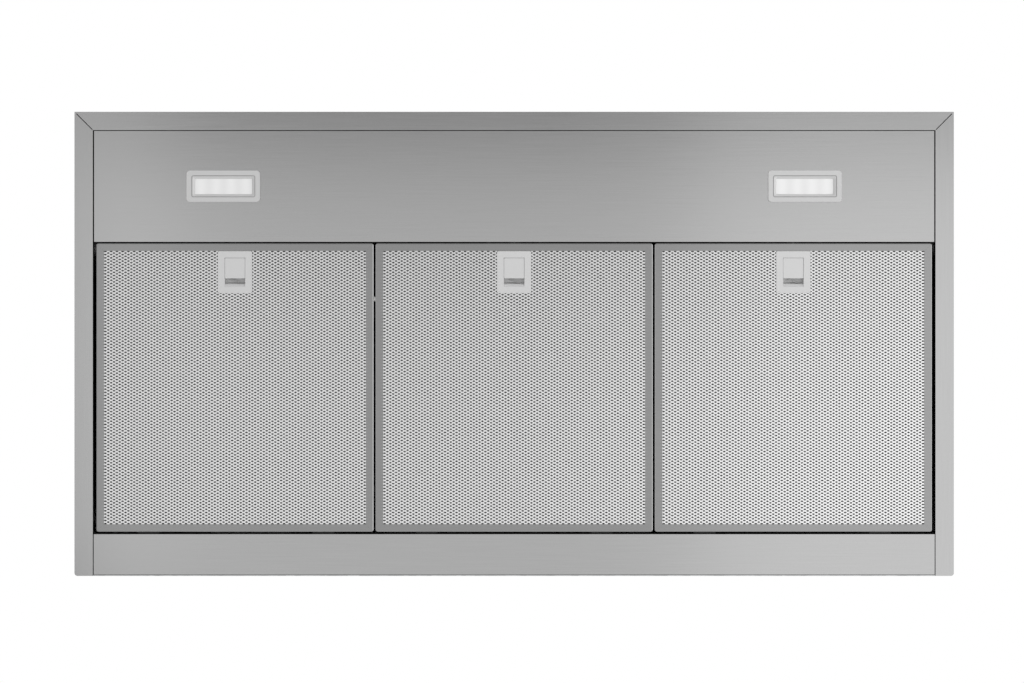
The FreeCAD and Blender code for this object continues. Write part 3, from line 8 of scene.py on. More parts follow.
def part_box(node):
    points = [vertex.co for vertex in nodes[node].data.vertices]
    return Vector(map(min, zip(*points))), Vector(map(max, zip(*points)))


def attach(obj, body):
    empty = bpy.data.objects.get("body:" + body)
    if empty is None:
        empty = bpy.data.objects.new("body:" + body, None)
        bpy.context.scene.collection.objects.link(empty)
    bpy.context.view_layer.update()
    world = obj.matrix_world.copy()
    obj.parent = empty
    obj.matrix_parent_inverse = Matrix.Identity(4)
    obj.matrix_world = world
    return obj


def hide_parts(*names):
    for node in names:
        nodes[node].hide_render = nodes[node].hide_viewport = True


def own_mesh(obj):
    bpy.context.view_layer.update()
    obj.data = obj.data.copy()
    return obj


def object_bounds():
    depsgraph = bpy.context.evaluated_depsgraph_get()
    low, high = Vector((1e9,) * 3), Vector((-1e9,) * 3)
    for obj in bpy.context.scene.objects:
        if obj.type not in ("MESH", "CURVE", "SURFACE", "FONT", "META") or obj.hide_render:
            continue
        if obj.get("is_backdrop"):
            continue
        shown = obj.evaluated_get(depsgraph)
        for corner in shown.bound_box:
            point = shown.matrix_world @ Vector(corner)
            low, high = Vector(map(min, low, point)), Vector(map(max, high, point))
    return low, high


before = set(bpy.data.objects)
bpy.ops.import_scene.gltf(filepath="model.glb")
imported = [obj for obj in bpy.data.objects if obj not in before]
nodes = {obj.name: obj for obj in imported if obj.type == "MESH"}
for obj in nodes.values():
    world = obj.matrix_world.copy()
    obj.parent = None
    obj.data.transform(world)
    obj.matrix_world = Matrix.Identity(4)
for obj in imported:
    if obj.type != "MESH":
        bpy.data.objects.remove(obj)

# Canopy: band, pyramid and folded lips of one stainless sheet, brushed along its length.
# The light panel and the strip at the wall are the same sheet and hang on the lips' turned-up edges.
cad_low, cad_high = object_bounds()
MM = 0.001
LIP_WIDTH = 19 * MM
FOLD = 0.25 * MM  # the width of a lip's turned edge that the painted shade of the seams takes in
SEAM_HIGH = 15 * MM
SIDE_FACE = 0.3  # a face turned further sideways than this is on a side of the canopy
UPPER_FACE = 0.5  # a face turned further up than this is on top
GRAIN_LENGTH = 70 * MM
GRAIN_WIDTH = 1.3 * MM  # real scratches are a tenth of this; drawn as coarse as the render can show
WELD_GAP = 0.001 * MM  # corners of a CAD mesh's loose triangles that are nearer than this are one
SHARP_EDGE = math.radians(40)


def linear(code):
    """A linear colour from an sRGB hex code."""
    channels = [int(code[start:start + 2], 16) / 255 for start in (1, 3, 5)]
    return [c / 12.92 if c <= 0.04045 else ((c + 0.055) / 1.055) ** 2.4 for c in channels] + [1.0]


def add(tree, kind, inputs, **settings):
    """Add a node with its settings, and set or link each of its inputs."""
    node = tree.nodes.new(kind)
    for name, value in settings.items():
        setattr(node, name, value)
    for name, value in inputs.items():
        if isinstance(value, bpy.types.NodeSocket):
            tree.links.new(value, node.inputs[name])
        else:
            node.inputs[name].default_value = value
    return node


def start_material(name, metallic, roughness):
    """A new material with its node tree and its shader."""
    material = bpy.data.materials.new(name)
    material.use_nodes = True
    tree = material.node_tree
    shader = tree.nodes["Principled BSDF"]
    shader.inputs["Metallic"].default_value = metallic
    shader.inputs["Roughness"].default_value = roughness
    return material, tree, shader


def tint(tree, shader, factor, low, high):
    """Colour a shader between two hex codes by a factor."""
    mix = add(tree, "ShaderNodeMix", {"Factor": factor}, data_type="RGBA")
    first, second = [socket for socket in mix.inputs if socket.type == "RGBA"]
    first.default_value = linear(low)
    second.default_value = linear(high)
    result = next(socket for socket in mix.outputs if socket.type == "RGBA")
    tree.links.new(result, shader.inputs["Base Color"])


def vary_roughness(tree, shader, factor, amount):
    """Make a shader smoother or rougher than it is, by a factor and up to an amount either way."""
    middle = shader.inputs["Roughness"].default_value
    ranged = add(tree, "ShaderNodeMapRange", {
        "Value": factor,
        "To Min": middle - amount,
        "To Max": middle + amount,
    })
    tree.links.new(ranged.outputs["Result"], shader.inputs["Roughness"])


def roughen(tree, shader, height, distance, strength):
    """Give a shader small ups and downs."""
    bump = add(tree, "ShaderNodeBump", {"Height": height, "Distance": distance, "Strength": strength})
    tree.links.new(bump.outputs["Normal"], shader.inputs["Normal"])


def brushed_stainless(name, grain, low, high):
    """Brushed stainless: fine parallel scratches along an axis, which spread reflections across them."""
    material, tree, shader = start_material(name, metallic=1.0, roughness=0.19)
    place = add(tree, "ShaderNodeTexCoord", {})
    along = add(tree, "ShaderNodeMapping", {
        "Vector": place.outputs["Object"],
        "Scale": [1 / GRAIN_LENGTH if axis == grain else 1 / GRAIN_WIDTH for axis in "XYZ"],
    })
    scratches = add(tree, "ShaderNodeTexNoise", {
        "Vector": along.outputs["Vector"],
        "Scale": 1.0,
        "Detail": 4.0,
        "Roughness": 0.6,
    })
    tint(tree, shader, scratches.outputs["Fac"], low, high)
    vary_roughness(tree, shader, scratches.outputs["Fac"], amount=0.04)
    roughen(tree, shader, scratches.outputs["Fac"], distance=0.04 * MM, strength=0.25)
    return material


def split_place(tree):
    """The spot on the object and the way its surface is turned, each split into X, Y and Z."""
    place = add(tree, "ShaderNodeTexCoord", {})
    spot = add(tree, "ShaderNodeSeparateXYZ", {"Vector": place.outputs["Object"]})
    normal = add(tree, "ShaderNodeSeparateXYZ", {"Vector": place.outputs["Normal"]})
    return spot.outputs, normal.outputs


def where(tree, *tests):
    """A mask that is 1 where every test of a socket against a level holds, and 0 elsewhere."""
    mask = 1.0
    for socket, comparison, level in tests:
        test = add(tree, "ShaderNodeMath", {0: socket, 1: level}, operation=comparison)
        every = add(tree, "ShaderNodeMath", {0: test.outputs[0], 1: mask}, operation="MULTIPLY")
        mask = every.outputs[0]
    return mask


def cover(material, factor, code):
    """Lay a second colour over a material's own, by a factor."""
    tree = material.node_tree
    base = tree.nodes["Principled BSDF"].inputs["Base Color"]
    mix = add(tree, "ShaderNodeMix", {"Factor": factor}, data_type="RGBA")
    own, second = [socket for socket in mix.inputs if socket.type == "RGBA"]
    tree.links.new(base.links[0].from_socket, own)
    second.default_value = linear(code)
    tree.links.new(next(socket for socket in mix.outputs if socket.type == "RGBA"), base)


def turn_grain(material):
    """Turn the grain along Y on the canopy's sides and on its side lips, up to their mitred front ends."""
    tree = material.node_tree
    along = next(node for node in tree.nodes if node.type == "MAPPING")
    scratches = next(node for node in tree.nodes if node.type == "TEX_NOISE")
    across = add(tree, "ShaderNodeMapping", {
        "Vector": along.inputs["Vector"].links[0].from_socket,
        "Scale": [1 / GRAIN_WIDTH, 1 / GRAIN_LENGTH, 1 / GRAIN_WIDTH],
    })
    spot, normal = split_place(tree)
    aside = add(tree, "ShaderNodeMath", {0: normal["X"]}, operation="ABSOLUTE").outputs[0]
    out = add(tree, "ShaderNodeMath", {0: spot["X"]}, operation="ABSOLUTE").outputs[0]
    mitre = add(tree, "ShaderNodeMath", {0: out, 1: spot["Y"]}, operation="ADD").outputs[0]
    side = where(tree, (aside, "GREATER_THAN", SIDE_FACE))
    lip = where(
        tree,
        (out, "GREATER_THAN", cad_high.x - LIP_WIDTH),
        (mitre, "GREATER_THAN", cad_high.x + cad_low.y),
    )
    turned = add(tree, "ShaderNodeMath", {0: side, 1: lip}, operation="MAXIMUM")
    mix = add(tree, "ShaderNodeMix", {"Factor": turned.outputs[0]}, data_type="VECTOR")
    straight, sideways = [socket for socket in mix.inputs if socket.type == "VECTOR"][-2:]
    tree.links.new(along.outputs["Vector"], straight)
    tree.links.new(across.outputs["Vector"], sideways)
    chosen = next(socket for socket in mix.outputs if socket.type == "VECTOR")
    tree.links.new(chosen, scratches.inputs["Vector"])


def paint_seam_shade(material, low, half_width, front):
    """Paint shade on the turned-up edges above a level, inside a half width and behind a front line, for the
    dark gaps.
    """
    tree = material.node_tree
    spot, normal = split_place(tree)
    out = add(tree, "ShaderNodeMath", {0: spot["X"]}, operation="ABSOLUTE").outputs[0]
    seam_shade = where(
        tree,
        (spot["Z"], "GREATER_THAN", low),
        (spot["Z"], "LESS_THAN", SEAM_HIGH),
        (normal["Z"], "LESS_THAN", UPPER_FACE),
        (out, "LESS_THAN", half_width),
        (spot["Y"], "GREATER_THAN", front),
    )
    # Painted shade: near black where the narrow gaps between sheets would be dark.
    cover(material, seam_shade, "#262626")


def finish(material, *names):
    """Give CAD nodes a material of the scene's own."""
    for name in names:
        slots = nodes[name].data.materials
        slots.clear()
        slots.append(material)


def soften(*names, width):
    """Round the sharp edges of CAD nodes by a small bevel. It would crease large sheets with small holes."""
    for name in names:
        weld = nodes[name].modifiers.new("weld", "WELD")
        weld.merge_threshold = WELD_GAP
        bevel = nodes[name].modifiers.new("bevel", "BEVEL")
        bevel.width = width
        bevel.segments = 2
        bevel.limit_method = "ANGLE"
        bevel.angle_limit = SHARP_EDGE


# Both stainless sheets get painted shade on the turned-up edges in their seams, the canopy also on its lips'
# folded edges.
panel_steel = brushed_stainless("brushed_stainless_sheet", "X", "#939393", "#9e9e9e")
paint_seam_shade(panel_steel, low=0.5 * MM, half_width=cad_high.x, front=cad_low.y)
finish(panel_steel, "light_panel", "rear_rail")
canopy_steel = brushed_stainless("brushed_stainless_canopy", "X", "#939393", "#9e9e9e")
turn_grain(canopy_steel)
paint_seam_shade(
    canopy_steel,
    low=-1 * MM,
    half_width=cad_high.x - LIP_WIDTH + FOLD,
    front=cad_low.y + LIP_WIDTH - FOLD,
)
finish(canopy_steel, "canopy_skin")
soften("canopy_skin", "light_panel", "rear_rail", width=0.25 * MM)


# Hidden sheet: the panel that closes the canopy at the wall, and the plate on top that carries the blower.
# They are pressed from zinc-coated steel, which shows the flat crystals of its coating.
SPANGLE = 9 * MM


def zinc_coated(name, low, high):
    """Hot-dip zinc: large flat crystals, each a little lighter or darker than the next."""
    material, tree, shader = start_material(name, metallic=1.0, roughness=0.45)
    place = add(tree, "ShaderNodeTexCoord", {})
    crystals = add(tree, "ShaderNodeTexVoronoi", {"Vector": place.outputs["Object"], "Scale": 1 / SPANGLE})
    shade = add(tree, "ShaderNodeSeparateColor", {"Color": crystals.outputs["Color"]})
    tint(tree, shader, shade.outputs["Red"], low, high)
    vary_roughness(tree, shader, shade.outputs["Green"], amount=0.07)
    return material


zinc_sheet = zinc_coated("zinc_coated_steel", "#9c9d9e", "#b1b2b3")
finish(zinc_sheet, "back_panel", "top_plate")


# Screws: pan heads of plated steel, bright with a slight yellow-grey film.
# They hold the top plate, the blower, the chimney covers and their bracket.
def smooth_metal(name, low, high, mottle):
    """Smooth metal: a clear shine, with a thin film that lightens and dulls it in small patches."""
    material, tree, shader = start_material(name, metallic=1.0, roughness=0.29)
    place = add(tree, "ShaderNodeTexCoord", {})
    film = add(tree, "ShaderNodeTexNoise", {"Vector": place.outputs["Object"], "Scale": 1 / mottle})
    tint(tree, shader, film.outputs["Fac"], low, high)
    vary_roughness(tree, shader, film.outputs["Fac"], amount=0.07)
    return material


screw_steel = smooth_metal("nickel_plated_steel", "#b0b0af", "#c9c9c8", mottle=1.5 * MM)
finish(screw_steel, "canopy_screws", "blower_screws", "cover_screws", "bracket_screws")


# Lamps: a moulded satin bezel clipped into the panel, with a frosted cover over four LEDs on a white board.
# An aluminium cap behind it takes the heat away and carries the spring clips.
BEZEL_STEP = -1.05 * MM
FLAT_DOWN = -0.9  # a face that is turned further down than this is flat
SLOPING_DOWN = -0.5
LED_PITCH = 15.3 * MM
LAMP_SPACING = 595 * MM
PAINTED_COVER_GLOW = 0.15  # a painted glow, for the light that the white board sends back through the cover


def satin_colour(name, low, high, roughness, grain):
    """Moulded or painted: an even colour with a soft sheen. Its fine pits are drawn coarse enough to show."""
    material, tree, shader = start_material(name, metallic=0.0, roughness=roughness)
    place = add(tree, "ShaderNodeTexCoord", {})
    pits = add(tree, "ShaderNodeTexNoise", {"Vector": place.outputs["Object"], "Scale": 1 / grain})
    tint(tree, shader, pits.outputs["Fac"], low, high)
    vary_roughness(tree, shader, pits.outputs["Fac"], amount=0.06)
    roughen(tree, shader, pits.outputs["Fac"], distance=0.02 * MM, strength=0.2)
    return material


# Satin ABS: a soft, even silver grey, with painted shade in the groove round the cover and a painted
# highlight on the slope.
bezel_plastic = satin_colour("satin_silver_abs", "#c8c8c8", "#cecece", roughness=0.42, grain=0.8 * MM)
tree = bezel_plastic.node_tree
spot, normal = split_place(tree)
sunk = (spot["Z"], "GREATER_THAN", BEZEL_STEP)
groove = where(tree, sunk, (normal["Z"], "LESS_THAN", FLAT_DOWN))
slope = where(
    tree,
    sunk,
    (normal["Z"], "LESS_THAN", SLOPING_DOWN),
    (normal["Z"], "GREATER_THAN", FLAT_DOWN),
)
# Painted shade in the groove, and a painted highlight on the sloping wall where light would fall on it.
cover(bezel_plastic, groove, "#a2a2a2")
cover(bezel_plastic, slope, "#d0d0d0")
finish(bezel_plastic, "light_bezel_left", "light_bezel_right")
soften("light_bezel_left", "light_bezel_right", width=0.3 * MM)

# Frosted polycarbonate: a matt white that hides the LEDs and is a shade lighter over each of them.
lens_plastic, tree, shader = start_material("frosted_polycarbonate", metallic=0.0, roughness=0.5)
spot, normal = split_place(tree)
out = add(tree, "ShaderNodeMath", {0: spot["X"]}, operation="ABSOLUTE")
from_lamp = add(tree, "ShaderNodeMath", {0: out.outputs[0], 1: LAMP_SPACING / 2}, operation="SUBTRACT")
angle = add(tree, "ShaderNodeMath", {
    0: from_lamp.outputs[0],
    1: 2 * math.pi / LED_PITCH,
}, operation="MULTIPLY")
wave = add(tree, "ShaderNodeMath", {0: angle.outputs[0]}, operation="COSINE")
level = add(tree, "ShaderNodeMapRange", {"Value": wave.outputs[0], "From Min": 1.0, "From Max": -1.0})
tint(tree, shader, level.outputs["Result"], "#d7d7d7", "#dfdfdf")
# Painted glow: a faint emission stands for room light that comes back through the cover from the board.
shader.inputs["Emission Color"].default_value = linear("#ffffff")
shader.inputs["Emission Strength"].default_value = PAINTED_COVER_GLOW
finish(lens_plastic, "light_lens_left", "light_lens_right")

# White solder mask is smooth with a low gloss. Pressed aluminium is bright and slightly cloudy.
board_white = satin_colour("white_solder_mask", "#e2e2de", "#ececea", roughness=0.35, grain=1.2 * MM)
finish(board_white, "light_board_left", "light_board_right")
pressed_aluminium = smooth_metal("pressed_aluminium", "#b5b6b8", "#c8c9ca", mottle=4 * MM)
finish(pressed_aluminium, "light_housing_left", "light_housing_right")


# Filter frames: stainless channel rolled round the mesh and mitred at the corners, duller than the panels.
# The rolled edge has a painted highlight. Two hooks of dark phosphated steel are riveted to the rear edge.
SIDES = ("left", "middle", "right")
ROLLED_EDGE = -0.97  # the face points straight down, at -1

frame_steel = brushed_stainless("rolled_stainless_channel", "X", "#797979", "#848484")
spot, normal = split_place(frame_steel.node_tree)
# Painted highlight: faces on the rolled edge that turn away from straight down are lighter, as if they caught
# the light.
rolled = where(frame_steel.node_tree, (normal["Z"], "GREATER_THAN", ROLLED_EDGE))
cover(frame_steel, rolled, "#b0b0b0")
hook_steel = smooth_metal("phosphated_spring_steel", "#2c2c2c", "#3a3a3a", mottle=2 * MM)
for side in SIDES:
    finish(frame_steel, f"filter_frame_{side}")
    finish(hook_steel, f"filter_hooks_{side}")


# Filter mesh: fine expanded aluminium in front of a pack of crumpled layers, with a coarser sheet behind.
# Slit sheet is pulled open into diamonds, so every strand leans the same way and catches the light.
CELL_X = 5.9 * MM
CELL_Y = 3.28 * MM
STRAND_WIDTH = 1.05 * MM
STRAND_LEAN = math.radians(-2)
BOND_LENGTH = 3.4 * MM
BOND_WIDTH = 1.5 * MM
BOND_DEPTH = 0.4 * MM
STRAND_JOIN = 0.01 * MM  # strand corners that are nearer than this are one
FRAME_SHEET = 1.0 * MM
FRAME_FACE = 8.0 * MM
MESH_UNDER = 3.0 * MM  # how far the mesh runs in behind the frame's face
REAR_SIZE = 2  # the supporting mesh on the other side is this much coarser
PACK_GAP = 1.3 * MM
FOLDS_PER_CELL = 1.4


def expanded_cell():
    """One cell of the mesh: four strands that meet at its middle, and two of the wide bonds between cells."""
    cell = bmesh.new()
    slope = math.atan2(CELL_Y, CELL_X)
    radius = STRAND_WIDTH / math.sqrt(3)
    flat_side_down = Matrix.Rotation(-math.pi / 2, 4, "Y") @ Matrix.Rotation(-math.pi / 2, 4, "Z")
    for side in (-1, 1):
        for turn in (-1, 1):
            middle = Vector((side * CELL_X / 4, side * turn * CELL_Y / 4, 0))
            bmesh.ops.create_cone(
                cell,
                segments=3,
                radius1=radius,
                radius2=radius,
                depth=math.hypot(CELL_X, CELL_Y) / 2,
                matrix=Matrix.Translation(middle)
                @ Matrix.Rotation(turn * slope, 4, "Z")
                @ Matrix.Rotation(STRAND_LEAN, 4, "X")
                @ flat_side_down,
            )
    for middle in (Vector((0, 0, 0)), Vector((CELL_X / 2, CELL_Y / 2, 0))):
        for point_down in (-1, 1):
            bmesh.ops.create_cone(
                cell,
                segments=4,
                radius1=0.5,
                radius2=0,
                depth=1,
                matrix=Matrix.Translation(middle)
                @ Matrix.Rotation(STRAND_LEAN, 4, "X")
                @ Matrix.Diagonal((BOND_LENGTH, BOND_WIDTH, point_down * BOND_DEPTH / 2, 1))
                @ Matrix.Translation((0, 0, 0.5)),
            )
    bmesh.ops.remove_doubles(cell, verts=cell.verts[:], dist=STRAND_JOIN)
    bmesh.ops.recalc_face_normals(cell, faces=cell.faces[:])
    return cell


def spread(shape, count, step):
    """Repeat a whole shape along a step, count times in all."""
    source = shape.verts[:] + shape.edges[:] + shape.faces[:]
    for index in range(1, count):
        copy = bmesh.ops.duplicate(shape, geom=source)["geom"]
        moved = [item for item in copy if isinstance(item, bmesh.types.BMVert)]
        bmesh.ops.translate(shape, verts=moved, vec=step * index)


def cut(shape, point, outward, clear):
    """Cut along a plane, and clear away what lies beyond it if that is asked."""
    bmesh.ops.bisect_plane(
        shape,
        geom=shape.verts[:] + shape.edges[:] + shape.faces[:],
        plane_co=point,
        plane_no=outward,
        clear_outer=clear,
    )


def open_notch(shape, notch_low, notch_high):
    """Take away the faces where the latch sits."""
    inside = []
    for face in shape.faces:
        middle = face.calc_center_median()
        if notch_low.x < middle.x < notch_high.x and middle.y < notch_high.y:
            inside.append(face)
    bmesh.ops.delete(shape, geom=inside, context="FACES")


def to_object(name, shape, material):
    """Make a finished shape an object of one material."""
    mesh = bpy.data.meshes.new(name)
    shape.to_mesh(mesh)
    shape.free()
    mesh.materials.append(material)
    made = bpy.data.objects.new(name, mesh)
    bpy.context.scene.collection.objects.link(made)
    return made


def expanded_sheet(low, high, notch_low, notch_high, level, size, turn):
    """Expanded mesh over a rectangle, left open where the latch sits.

    Its cells are made a number of times their size and turned over about X.
    """
    shape = expanded_cell()
    placed = Matrix.Rotation(turn, 4, "X") @ Matrix.Scale(size, 4)
    bmesh.ops.transform(shape, matrix=placed, verts=shape.verts[:])
    pitch_x, pitch_y = size * CELL_X, size * CELL_Y
    columns = math.ceil((high.x - low.x) / pitch_x) + 1
    rows = math.ceil((high.y - low.y) / pitch_y) + 1
    spread(shape, columns, Vector((pitch_x, 0, 0)))
    spread(shape, rows, Vector((0, pitch_y, 0)))
    middle = (low + high) / 2
    corner = Vector((middle.x - (columns - 1) * pitch_x / 2, middle.y - (rows - 1) * pitch_y / 2, level))
    bmesh.ops.translate(shape, verts=shape.verts[:], vec=corner)
    for point, outward in ((low, (-1, 0, 0)), (low, (0, -1, 0)), (high, (1, 0, 0)), (high, (0, 1, 0))):
        cut(shape, point, outward, clear=True)
    for point, outward in ((notch_low, (-1, 0, 0)), (notch_high, (1, 0, 0)), (notch_high, (0, 1, 0))):
        cut(shape, point, outward, clear=False)
    open_notch(shape, notch_low, notch_high)
    return shape


def notched_slab(low, high, notch_low, notch_high):
    """A flat pack with a notch in its front edge for the latch."""
    shape = bmesh.new()
    bmesh.ops.create_grid(shape, x_segments=3, y_segments=2, size=1)
    columns = {-3: low.x, -1: notch_low.x, 1: notch_high.x, 3: high.x}
    rows = {-1: low.y, 0: notch_high.y, 1: high.y}
    for vert in shape.verts:
        vert.co = Vector((columns[round(3 * vert.co.x)], rows[round(vert.co.y)], low.z))
    open_notch(shape, notch_low, notch_high)
    raised = bmesh.ops.extrude_face_region(shape, geom=shape.faces[:])["geom"]
    verts = [item for item in raised if isinstance(item, bmesh.types.BMVert)]
    bmesh.ops.translate(shape, verts=verts, vec=Vector((0, 0, high.z - low.z)))
    bmesh.ops.recalc_face_normals(shape, faces=shape.faces[:])
    return shape


expanded_aluminium = smooth_metal("expanded_aluminium", "#c6c6c6", "#d6d6d6", mottle=6 * MM)

# Crumpled layers: a flat pack painted dark for the shade deep in their folds behind the mesh, so that the
# mesh stands out before them.
pack_aluminium, tree, shader = start_material("crumpled_aluminium_layers", metallic=1.0, roughness=0.5)
place = add(tree, "ShaderNodeTexCoord", {})
layers = add(tree, "ShaderNodeMapping", {
    "Vector": place.outputs["Object"],
    "Scale": [1 / CELL_X, 1 / CELL_Y, 1 / CELL_X],
})
folds = add(tree, "ShaderNodeTexNoise", {
    "Vector": layers.outputs["Vector"],
    "Scale": FOLDS_PER_CELL,
    "Detail": 3.0,
})
tint(tree, shader, folds.outputs["Fac"], "#3c3c3c", "#7a7a7a")
roughen(tree, shader, folds.outputs["Fac"], distance=1.0 * MM, strength=0.6)

for side in SIDES:
    frame_low, frame_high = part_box(f"filter_frame_{side}")
    latch_low, latch_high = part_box(f"latch_housing_{side}")
    inset = FRAME_FACE - MESH_UNDER
    low = Vector((frame_low.x + inset, frame_low.y + inset, frame_low.z))
    high = Vector((frame_high.x - inset, frame_high.y - inset, frame_high.z))
    level = frame_low.z + FRAME_SHEET + BOND_DEPTH
    facing = to_object(
        f"filter_facing_{side}",
        expanded_sheet(low, high, latch_low, latch_high, level, size=1, turn=0),
        expanded_aluminium,
    )
    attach(facing, f"filter_{side}")
    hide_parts(f"filter_mesh_{side}")
    rear_level = frame_high.z - FRAME_SHEET - REAR_SIZE * BOND_DEPTH
    backing = to_object(
        f"filter_backing_{side}",
        expanded_sheet(low, high, latch_low, latch_high, rear_level, size=REAR_SIZE, turn=math.pi),
        expanded_aluminium,
    )
    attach(backing, f"filter_{side}")
    low.z = level + PACK_GAP
    high.z = rear_level - PACK_GAP
    pack = to_object(f"filter_pack_{side}", notched_slab(low, high, latch_low, latch_high), pack_aluminium)
    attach(pack, f"filter_{side}")


# Latches: pale grey moulded housings in the filters' front edges, each with a square sliding tab.
# The tab's tongue runs through the frame, pushed forward by a folded wire spring; painted shade makes the
# tongue near black.
TONGUE_LEVEL = 3.7 * MM

latch_plastic = satin_colour("pale_grey_abs", "#cfcfcf", "#d5d5d5", roughness=0.5, grain=0.9 * MM)
# One pale moulding with a low sheen. Painted shade makes it near black above the tongue level, with a sharp
# line between.
slider_plastic, tree, shader = start_material("pale_abs_with_painted_tongue_shade", metallic=0.0, roughness=0.525)
spot, normal = split_place(tree)
tongue = where(tree, (spot["Z"], "GREATER_THAN", TONGUE_LEVEL))
tint(tree, shader, tongue, "#d2d2d2", "#1a1a1a")
vary_roughness(tree, shader, tongue, amount=0.025)
spring_wire = smooth_metal("drawn_spring_wire", "#868686", "#949494", mottle=1 * MM)
for side in SIDES:
    finish(latch_plastic, f"latch_housing_{side}")
    finish(slider_plastic, f"latch_slider_{side}")
    soften(f"latch_housing_{side}", f"latch_slider_{side}", width=0.35 * MM)
    shape = bmesh.new()
    shape.from_mesh(nodes[f"latch_spring_{side}"].data)
    bmesh.ops.remove_doubles(shape, verts=shape.verts[:], dist=WELD_GAP)
    spring = to_object(f"latch_wire_{side}", shape, spring_wire)
    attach(spring, f"latch_{side}")
    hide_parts(f"latch_spring_{side}")
    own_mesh(spring)


# Bumper: a small stud on the middle filter, which keeps it off its neighbour.
# It is moulded in undyed nylon, which is milky white with a waxy sheen.
nylon = satin_colour("natural_nylon", "#ececea", "#f6f6f4", roughness=0.4, grain=0.5 * MM)
finish(nylon, "filter_bumper")
soften("filter_bumper", width=0.3 * MM)


# Controls: five flush buttons of turned stainless in the front band, in a black moulded tray behind it.
# The circuit board closes the tray and carries one switch for each button.
TOOL_MARK = 0.9 * MM  # real marks are finer; drawn as coarse as the render can show

# Turned stainless: a bright face, slightly broken up by the marks of the tool.
turned_stainless, tree, shader = start_material("turned_stainless", metallic=1.0, roughness=0.26)
place = add(tree, "ShaderNodeTexCoord", {})
scratches = add(tree, "ShaderNodeTexNoise", {
    "Vector": place.outputs["Object"],
    "Scale": 1 / TOOL_MARK,
    "Detail": 4.0,
})
tint(tree, shader, scratches.outputs["Fac"], "#bdbdbd", "#d2d2d2")
vary_roughness(tree, shader, scratches.outputs["Fac"], amount=0.06)
for role in ("power", "low", "medium", "high", "light"):
    finish(turned_stainless, f"button_{role}")
    soften(f"button_{role}", width=0.5 * MM)
# Black ABS: almost black, with a soft grey sheen.
tray_plastic = satin_colour("black_abs", "#17171a", "#202023", roughness=0.45, grain=0.8 * MM)
finish(tray_plastic, "control_housing")
finish(board_white, "control_board")


# Blower: a squirrel-cage impeller in a spiral casing, both of zinc-coated sheet, open at the right inlet.
# The motor hangs on a bracket in the left inlet and drives the impeller by a plain steel shaft.
# Its closed shell is stove-enamelled, a smooth black with a dull gloss.
motor_paint = satin_colour("black_stove_enamel", "#1c1c1e", "#28282b", roughness=0.4, grain=1.5 * MM)
finish(motor_paint, "motor")
finish(screw_steel, "motor_shaft")
finish(zinc_sheet, "blower_scroll", "blower_cover", "impeller", "motor_bracket")


# Wiring: a box of zinc-coated sheet on the back panel. It holds the motor's capacitor, a plain white can.
# The cable comes in through a bushing of matt black rubber in the back panel.
finish(zinc_sheet, "wiring_box", "wiring_box_cover")
capacitor_plastic = satin_colour("white_capacitor_can", "#d9d9d6", "#e4e4e1", roughness=0.45, grain=1 * MM)
finish(capacitor_plastic, "motor_capacitor")
bushing_rubber = satin_colour("black_rubber", "#121212", "#1b1b1b", roughness=0.65, grain=0.7 * MM)
finish(bushing_rubber, "cable_bushing")


# Duct: a black moulded collar on top of the canopy, which takes the pipe for the air.
# Two aluminium flaps on a steel rod open in it while the blower runs.
finish(tray_plastic, "duct_collar")
finish(screw_steel, "damper_rod")
finish(pressed_aluminium, "damper_flap_front", "damper_flap_rear")


# Chimney: two telescoping covers of stainless, folded from sheet and brushed upright.
# The lower one stands on the canopy, and the upper one slides inside it and has vent slots near its top.
# A bracket of zinc-coated sheet ties the upper one to the wall.
chimney_steel = brushed_stainless("brushed_stainless_upright", "Z", "#949494", "#a0a0a0")
finish(chimney_steel, "lower_chimney", "upper_chimney")
finish(zinc_sheet, "chimney_bracket")


# Studio: a floor far below the hood, soft lamps beneath it, beside it and above it, in an even pale room.
# The floor's paint is pale and matt, with faint clouds. The camera and the metal see the room as white.
FLOOR_LEVEL = -4.2
FLOOR_SIZE = 40.0
CLOUD = 2.5

floor_paint, tree, shader = start_material("pale_floor_paint", metallic=0.0, roughness=0.8)
place = add(tree, "ShaderNodeTexCoord", {})
cloud = add(tree, "ShaderNodeTexNoise", {"Vector": place.outputs["Object"], "Scale": 1 / CLOUD})
tint(tree, shader, cloud.outputs["Fac"], "#dcdcdc", "#e2e2e2")
ground = bmesh.new()
bmesh.ops.create_grid(ground, x_segments=1, y_segments=1, size=FLOOR_SIZE / 2)
bmesh.ops.translate(ground, verts=ground.verts[:], vec=Vector((0, 0, FLOOR_LEVEL)))
to_object("floor", ground, floor_paint)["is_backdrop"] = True


def lamp(name, place, aim, width, depth, power):
    """A soft rectangular lamp at a place, turned to a point."""
    light = bpy.data.lights.new(name, "AREA")
    light.shape = "RECTANGLE"
    light.size = width
    light.size_y = depth
    light.energy = power
    holder = bpy.data.objects.new(name, light)
    holder.location = place
    holder.rotation_euler = (Vector(aim) - Vector(place)).to_track_quat("-Z", "Y").to_euler()
    bpy.context.scene.collection.objects.link(holder)


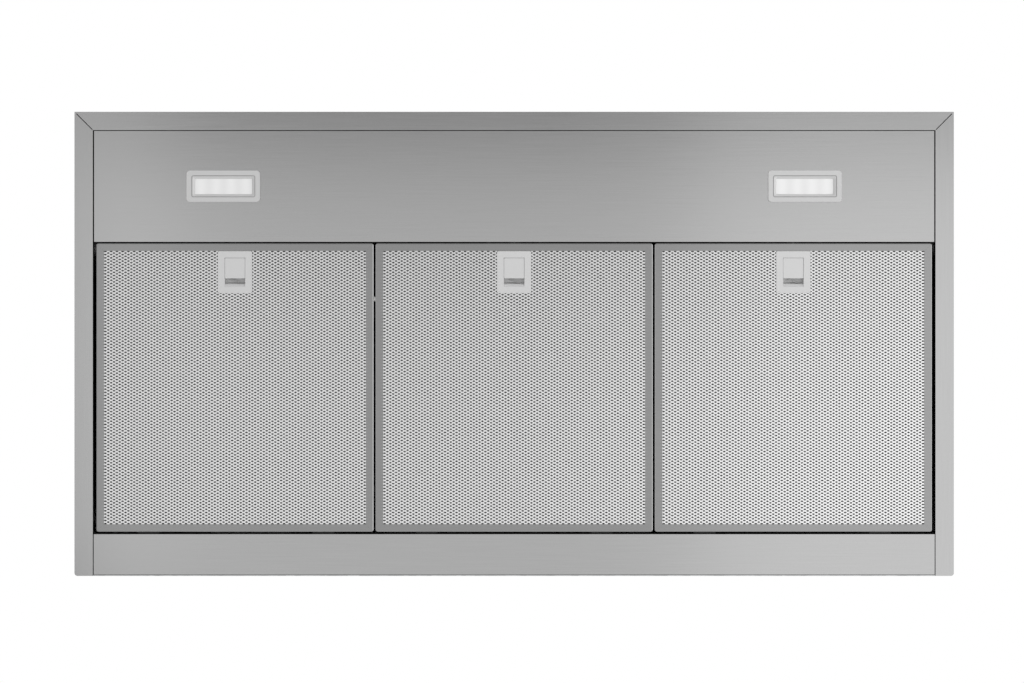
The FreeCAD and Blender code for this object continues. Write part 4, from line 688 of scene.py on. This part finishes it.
lamp("lamp_left", place=(-1.75, -0.6, -2.75), aim=(-1.75, -0.6, 0), width=1.8, depth=1.9, power=5.2)
lamp("lamp_right", place=(1.4, -0.3, -2.8), aim=(1.4, -0.3, 0), width=1.9, depth=2.4, power=6.8)
lamp("lamp_side", place=(1.6, -0.4, -0.6), aim=(0.3, -0.25, 0), width=2.0, depth=2.0, power=12)
lamp("lamp_below", place=(0.3, 0.82, -2.6), aim=(0.3, 0.82, 0), width=2.6, depth=3.0, power=17)
lamp("lamp_above", place=(-1.0, -2.2, 3.0), aim=(0, -0.2, 0.3), width=6.0, depth=6.0, power=34)

world = bpy.data.worlds.new("studio")
bpy.context.scene.world = world
world.use_nodes = True
tree = world.node_tree
surround = tree.nodes["Background"]
surround.inputs["Color"].default_value = linear("#f4f4f4")
surround.inputs["Strength"].default_value = 0.8
backdrop = add(tree, "ShaderNodeBackground", {"Color": linear("#ffffff"), "Strength": 1.0})
seen = add(tree, "ShaderNodeLightPath", {})
clear = seen.outputs["Is Camera Ray"]
for kind in ("Is Glossy Ray", "Is Transmission Ray"):
    clear = add(tree, "ShaderNodeMath", {0: clear, 1: seen.outputs[kind]}, operation="MAXIMUM").outputs[0]
shown = add(tree, "ShaderNodeMixShader", {0: clear, 1: surround.outputs[0], 2: backdrop.outputs[0]})
tree.links.new(shown.outputs[0], tree.nodes["World Output"].inputs["Surface"])


# Camera: straight below the hood, looking up, with the front edge at the top of the picture.
# It stands about two metres away, and its lens takes in a little more than the hood's width.
LENS = 70.0
SENSOR = 36.0
VIEW_WIDTH = 1.048
VIEW_MIDDLE = (-0.0022, -0.2399)

camera_data = bpy.data.cameras.new("camera")
camera_data.lens = LENS
camera_data.sensor_width = SENSOR
camera = bpy.data.objects.new("camera", camera_data)
camera.location = (*VIEW_MIDDLE, -VIEW_WIDTH * LENS / SENSOR)
camera.rotation_euler = (math.pi, 0, 0)
bpy.context.scene.collection.objects.link(camera)
bpy.context.scene.camera = camera
bpy.context.scene.view_settings.view_transform = "Standard"

low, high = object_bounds()
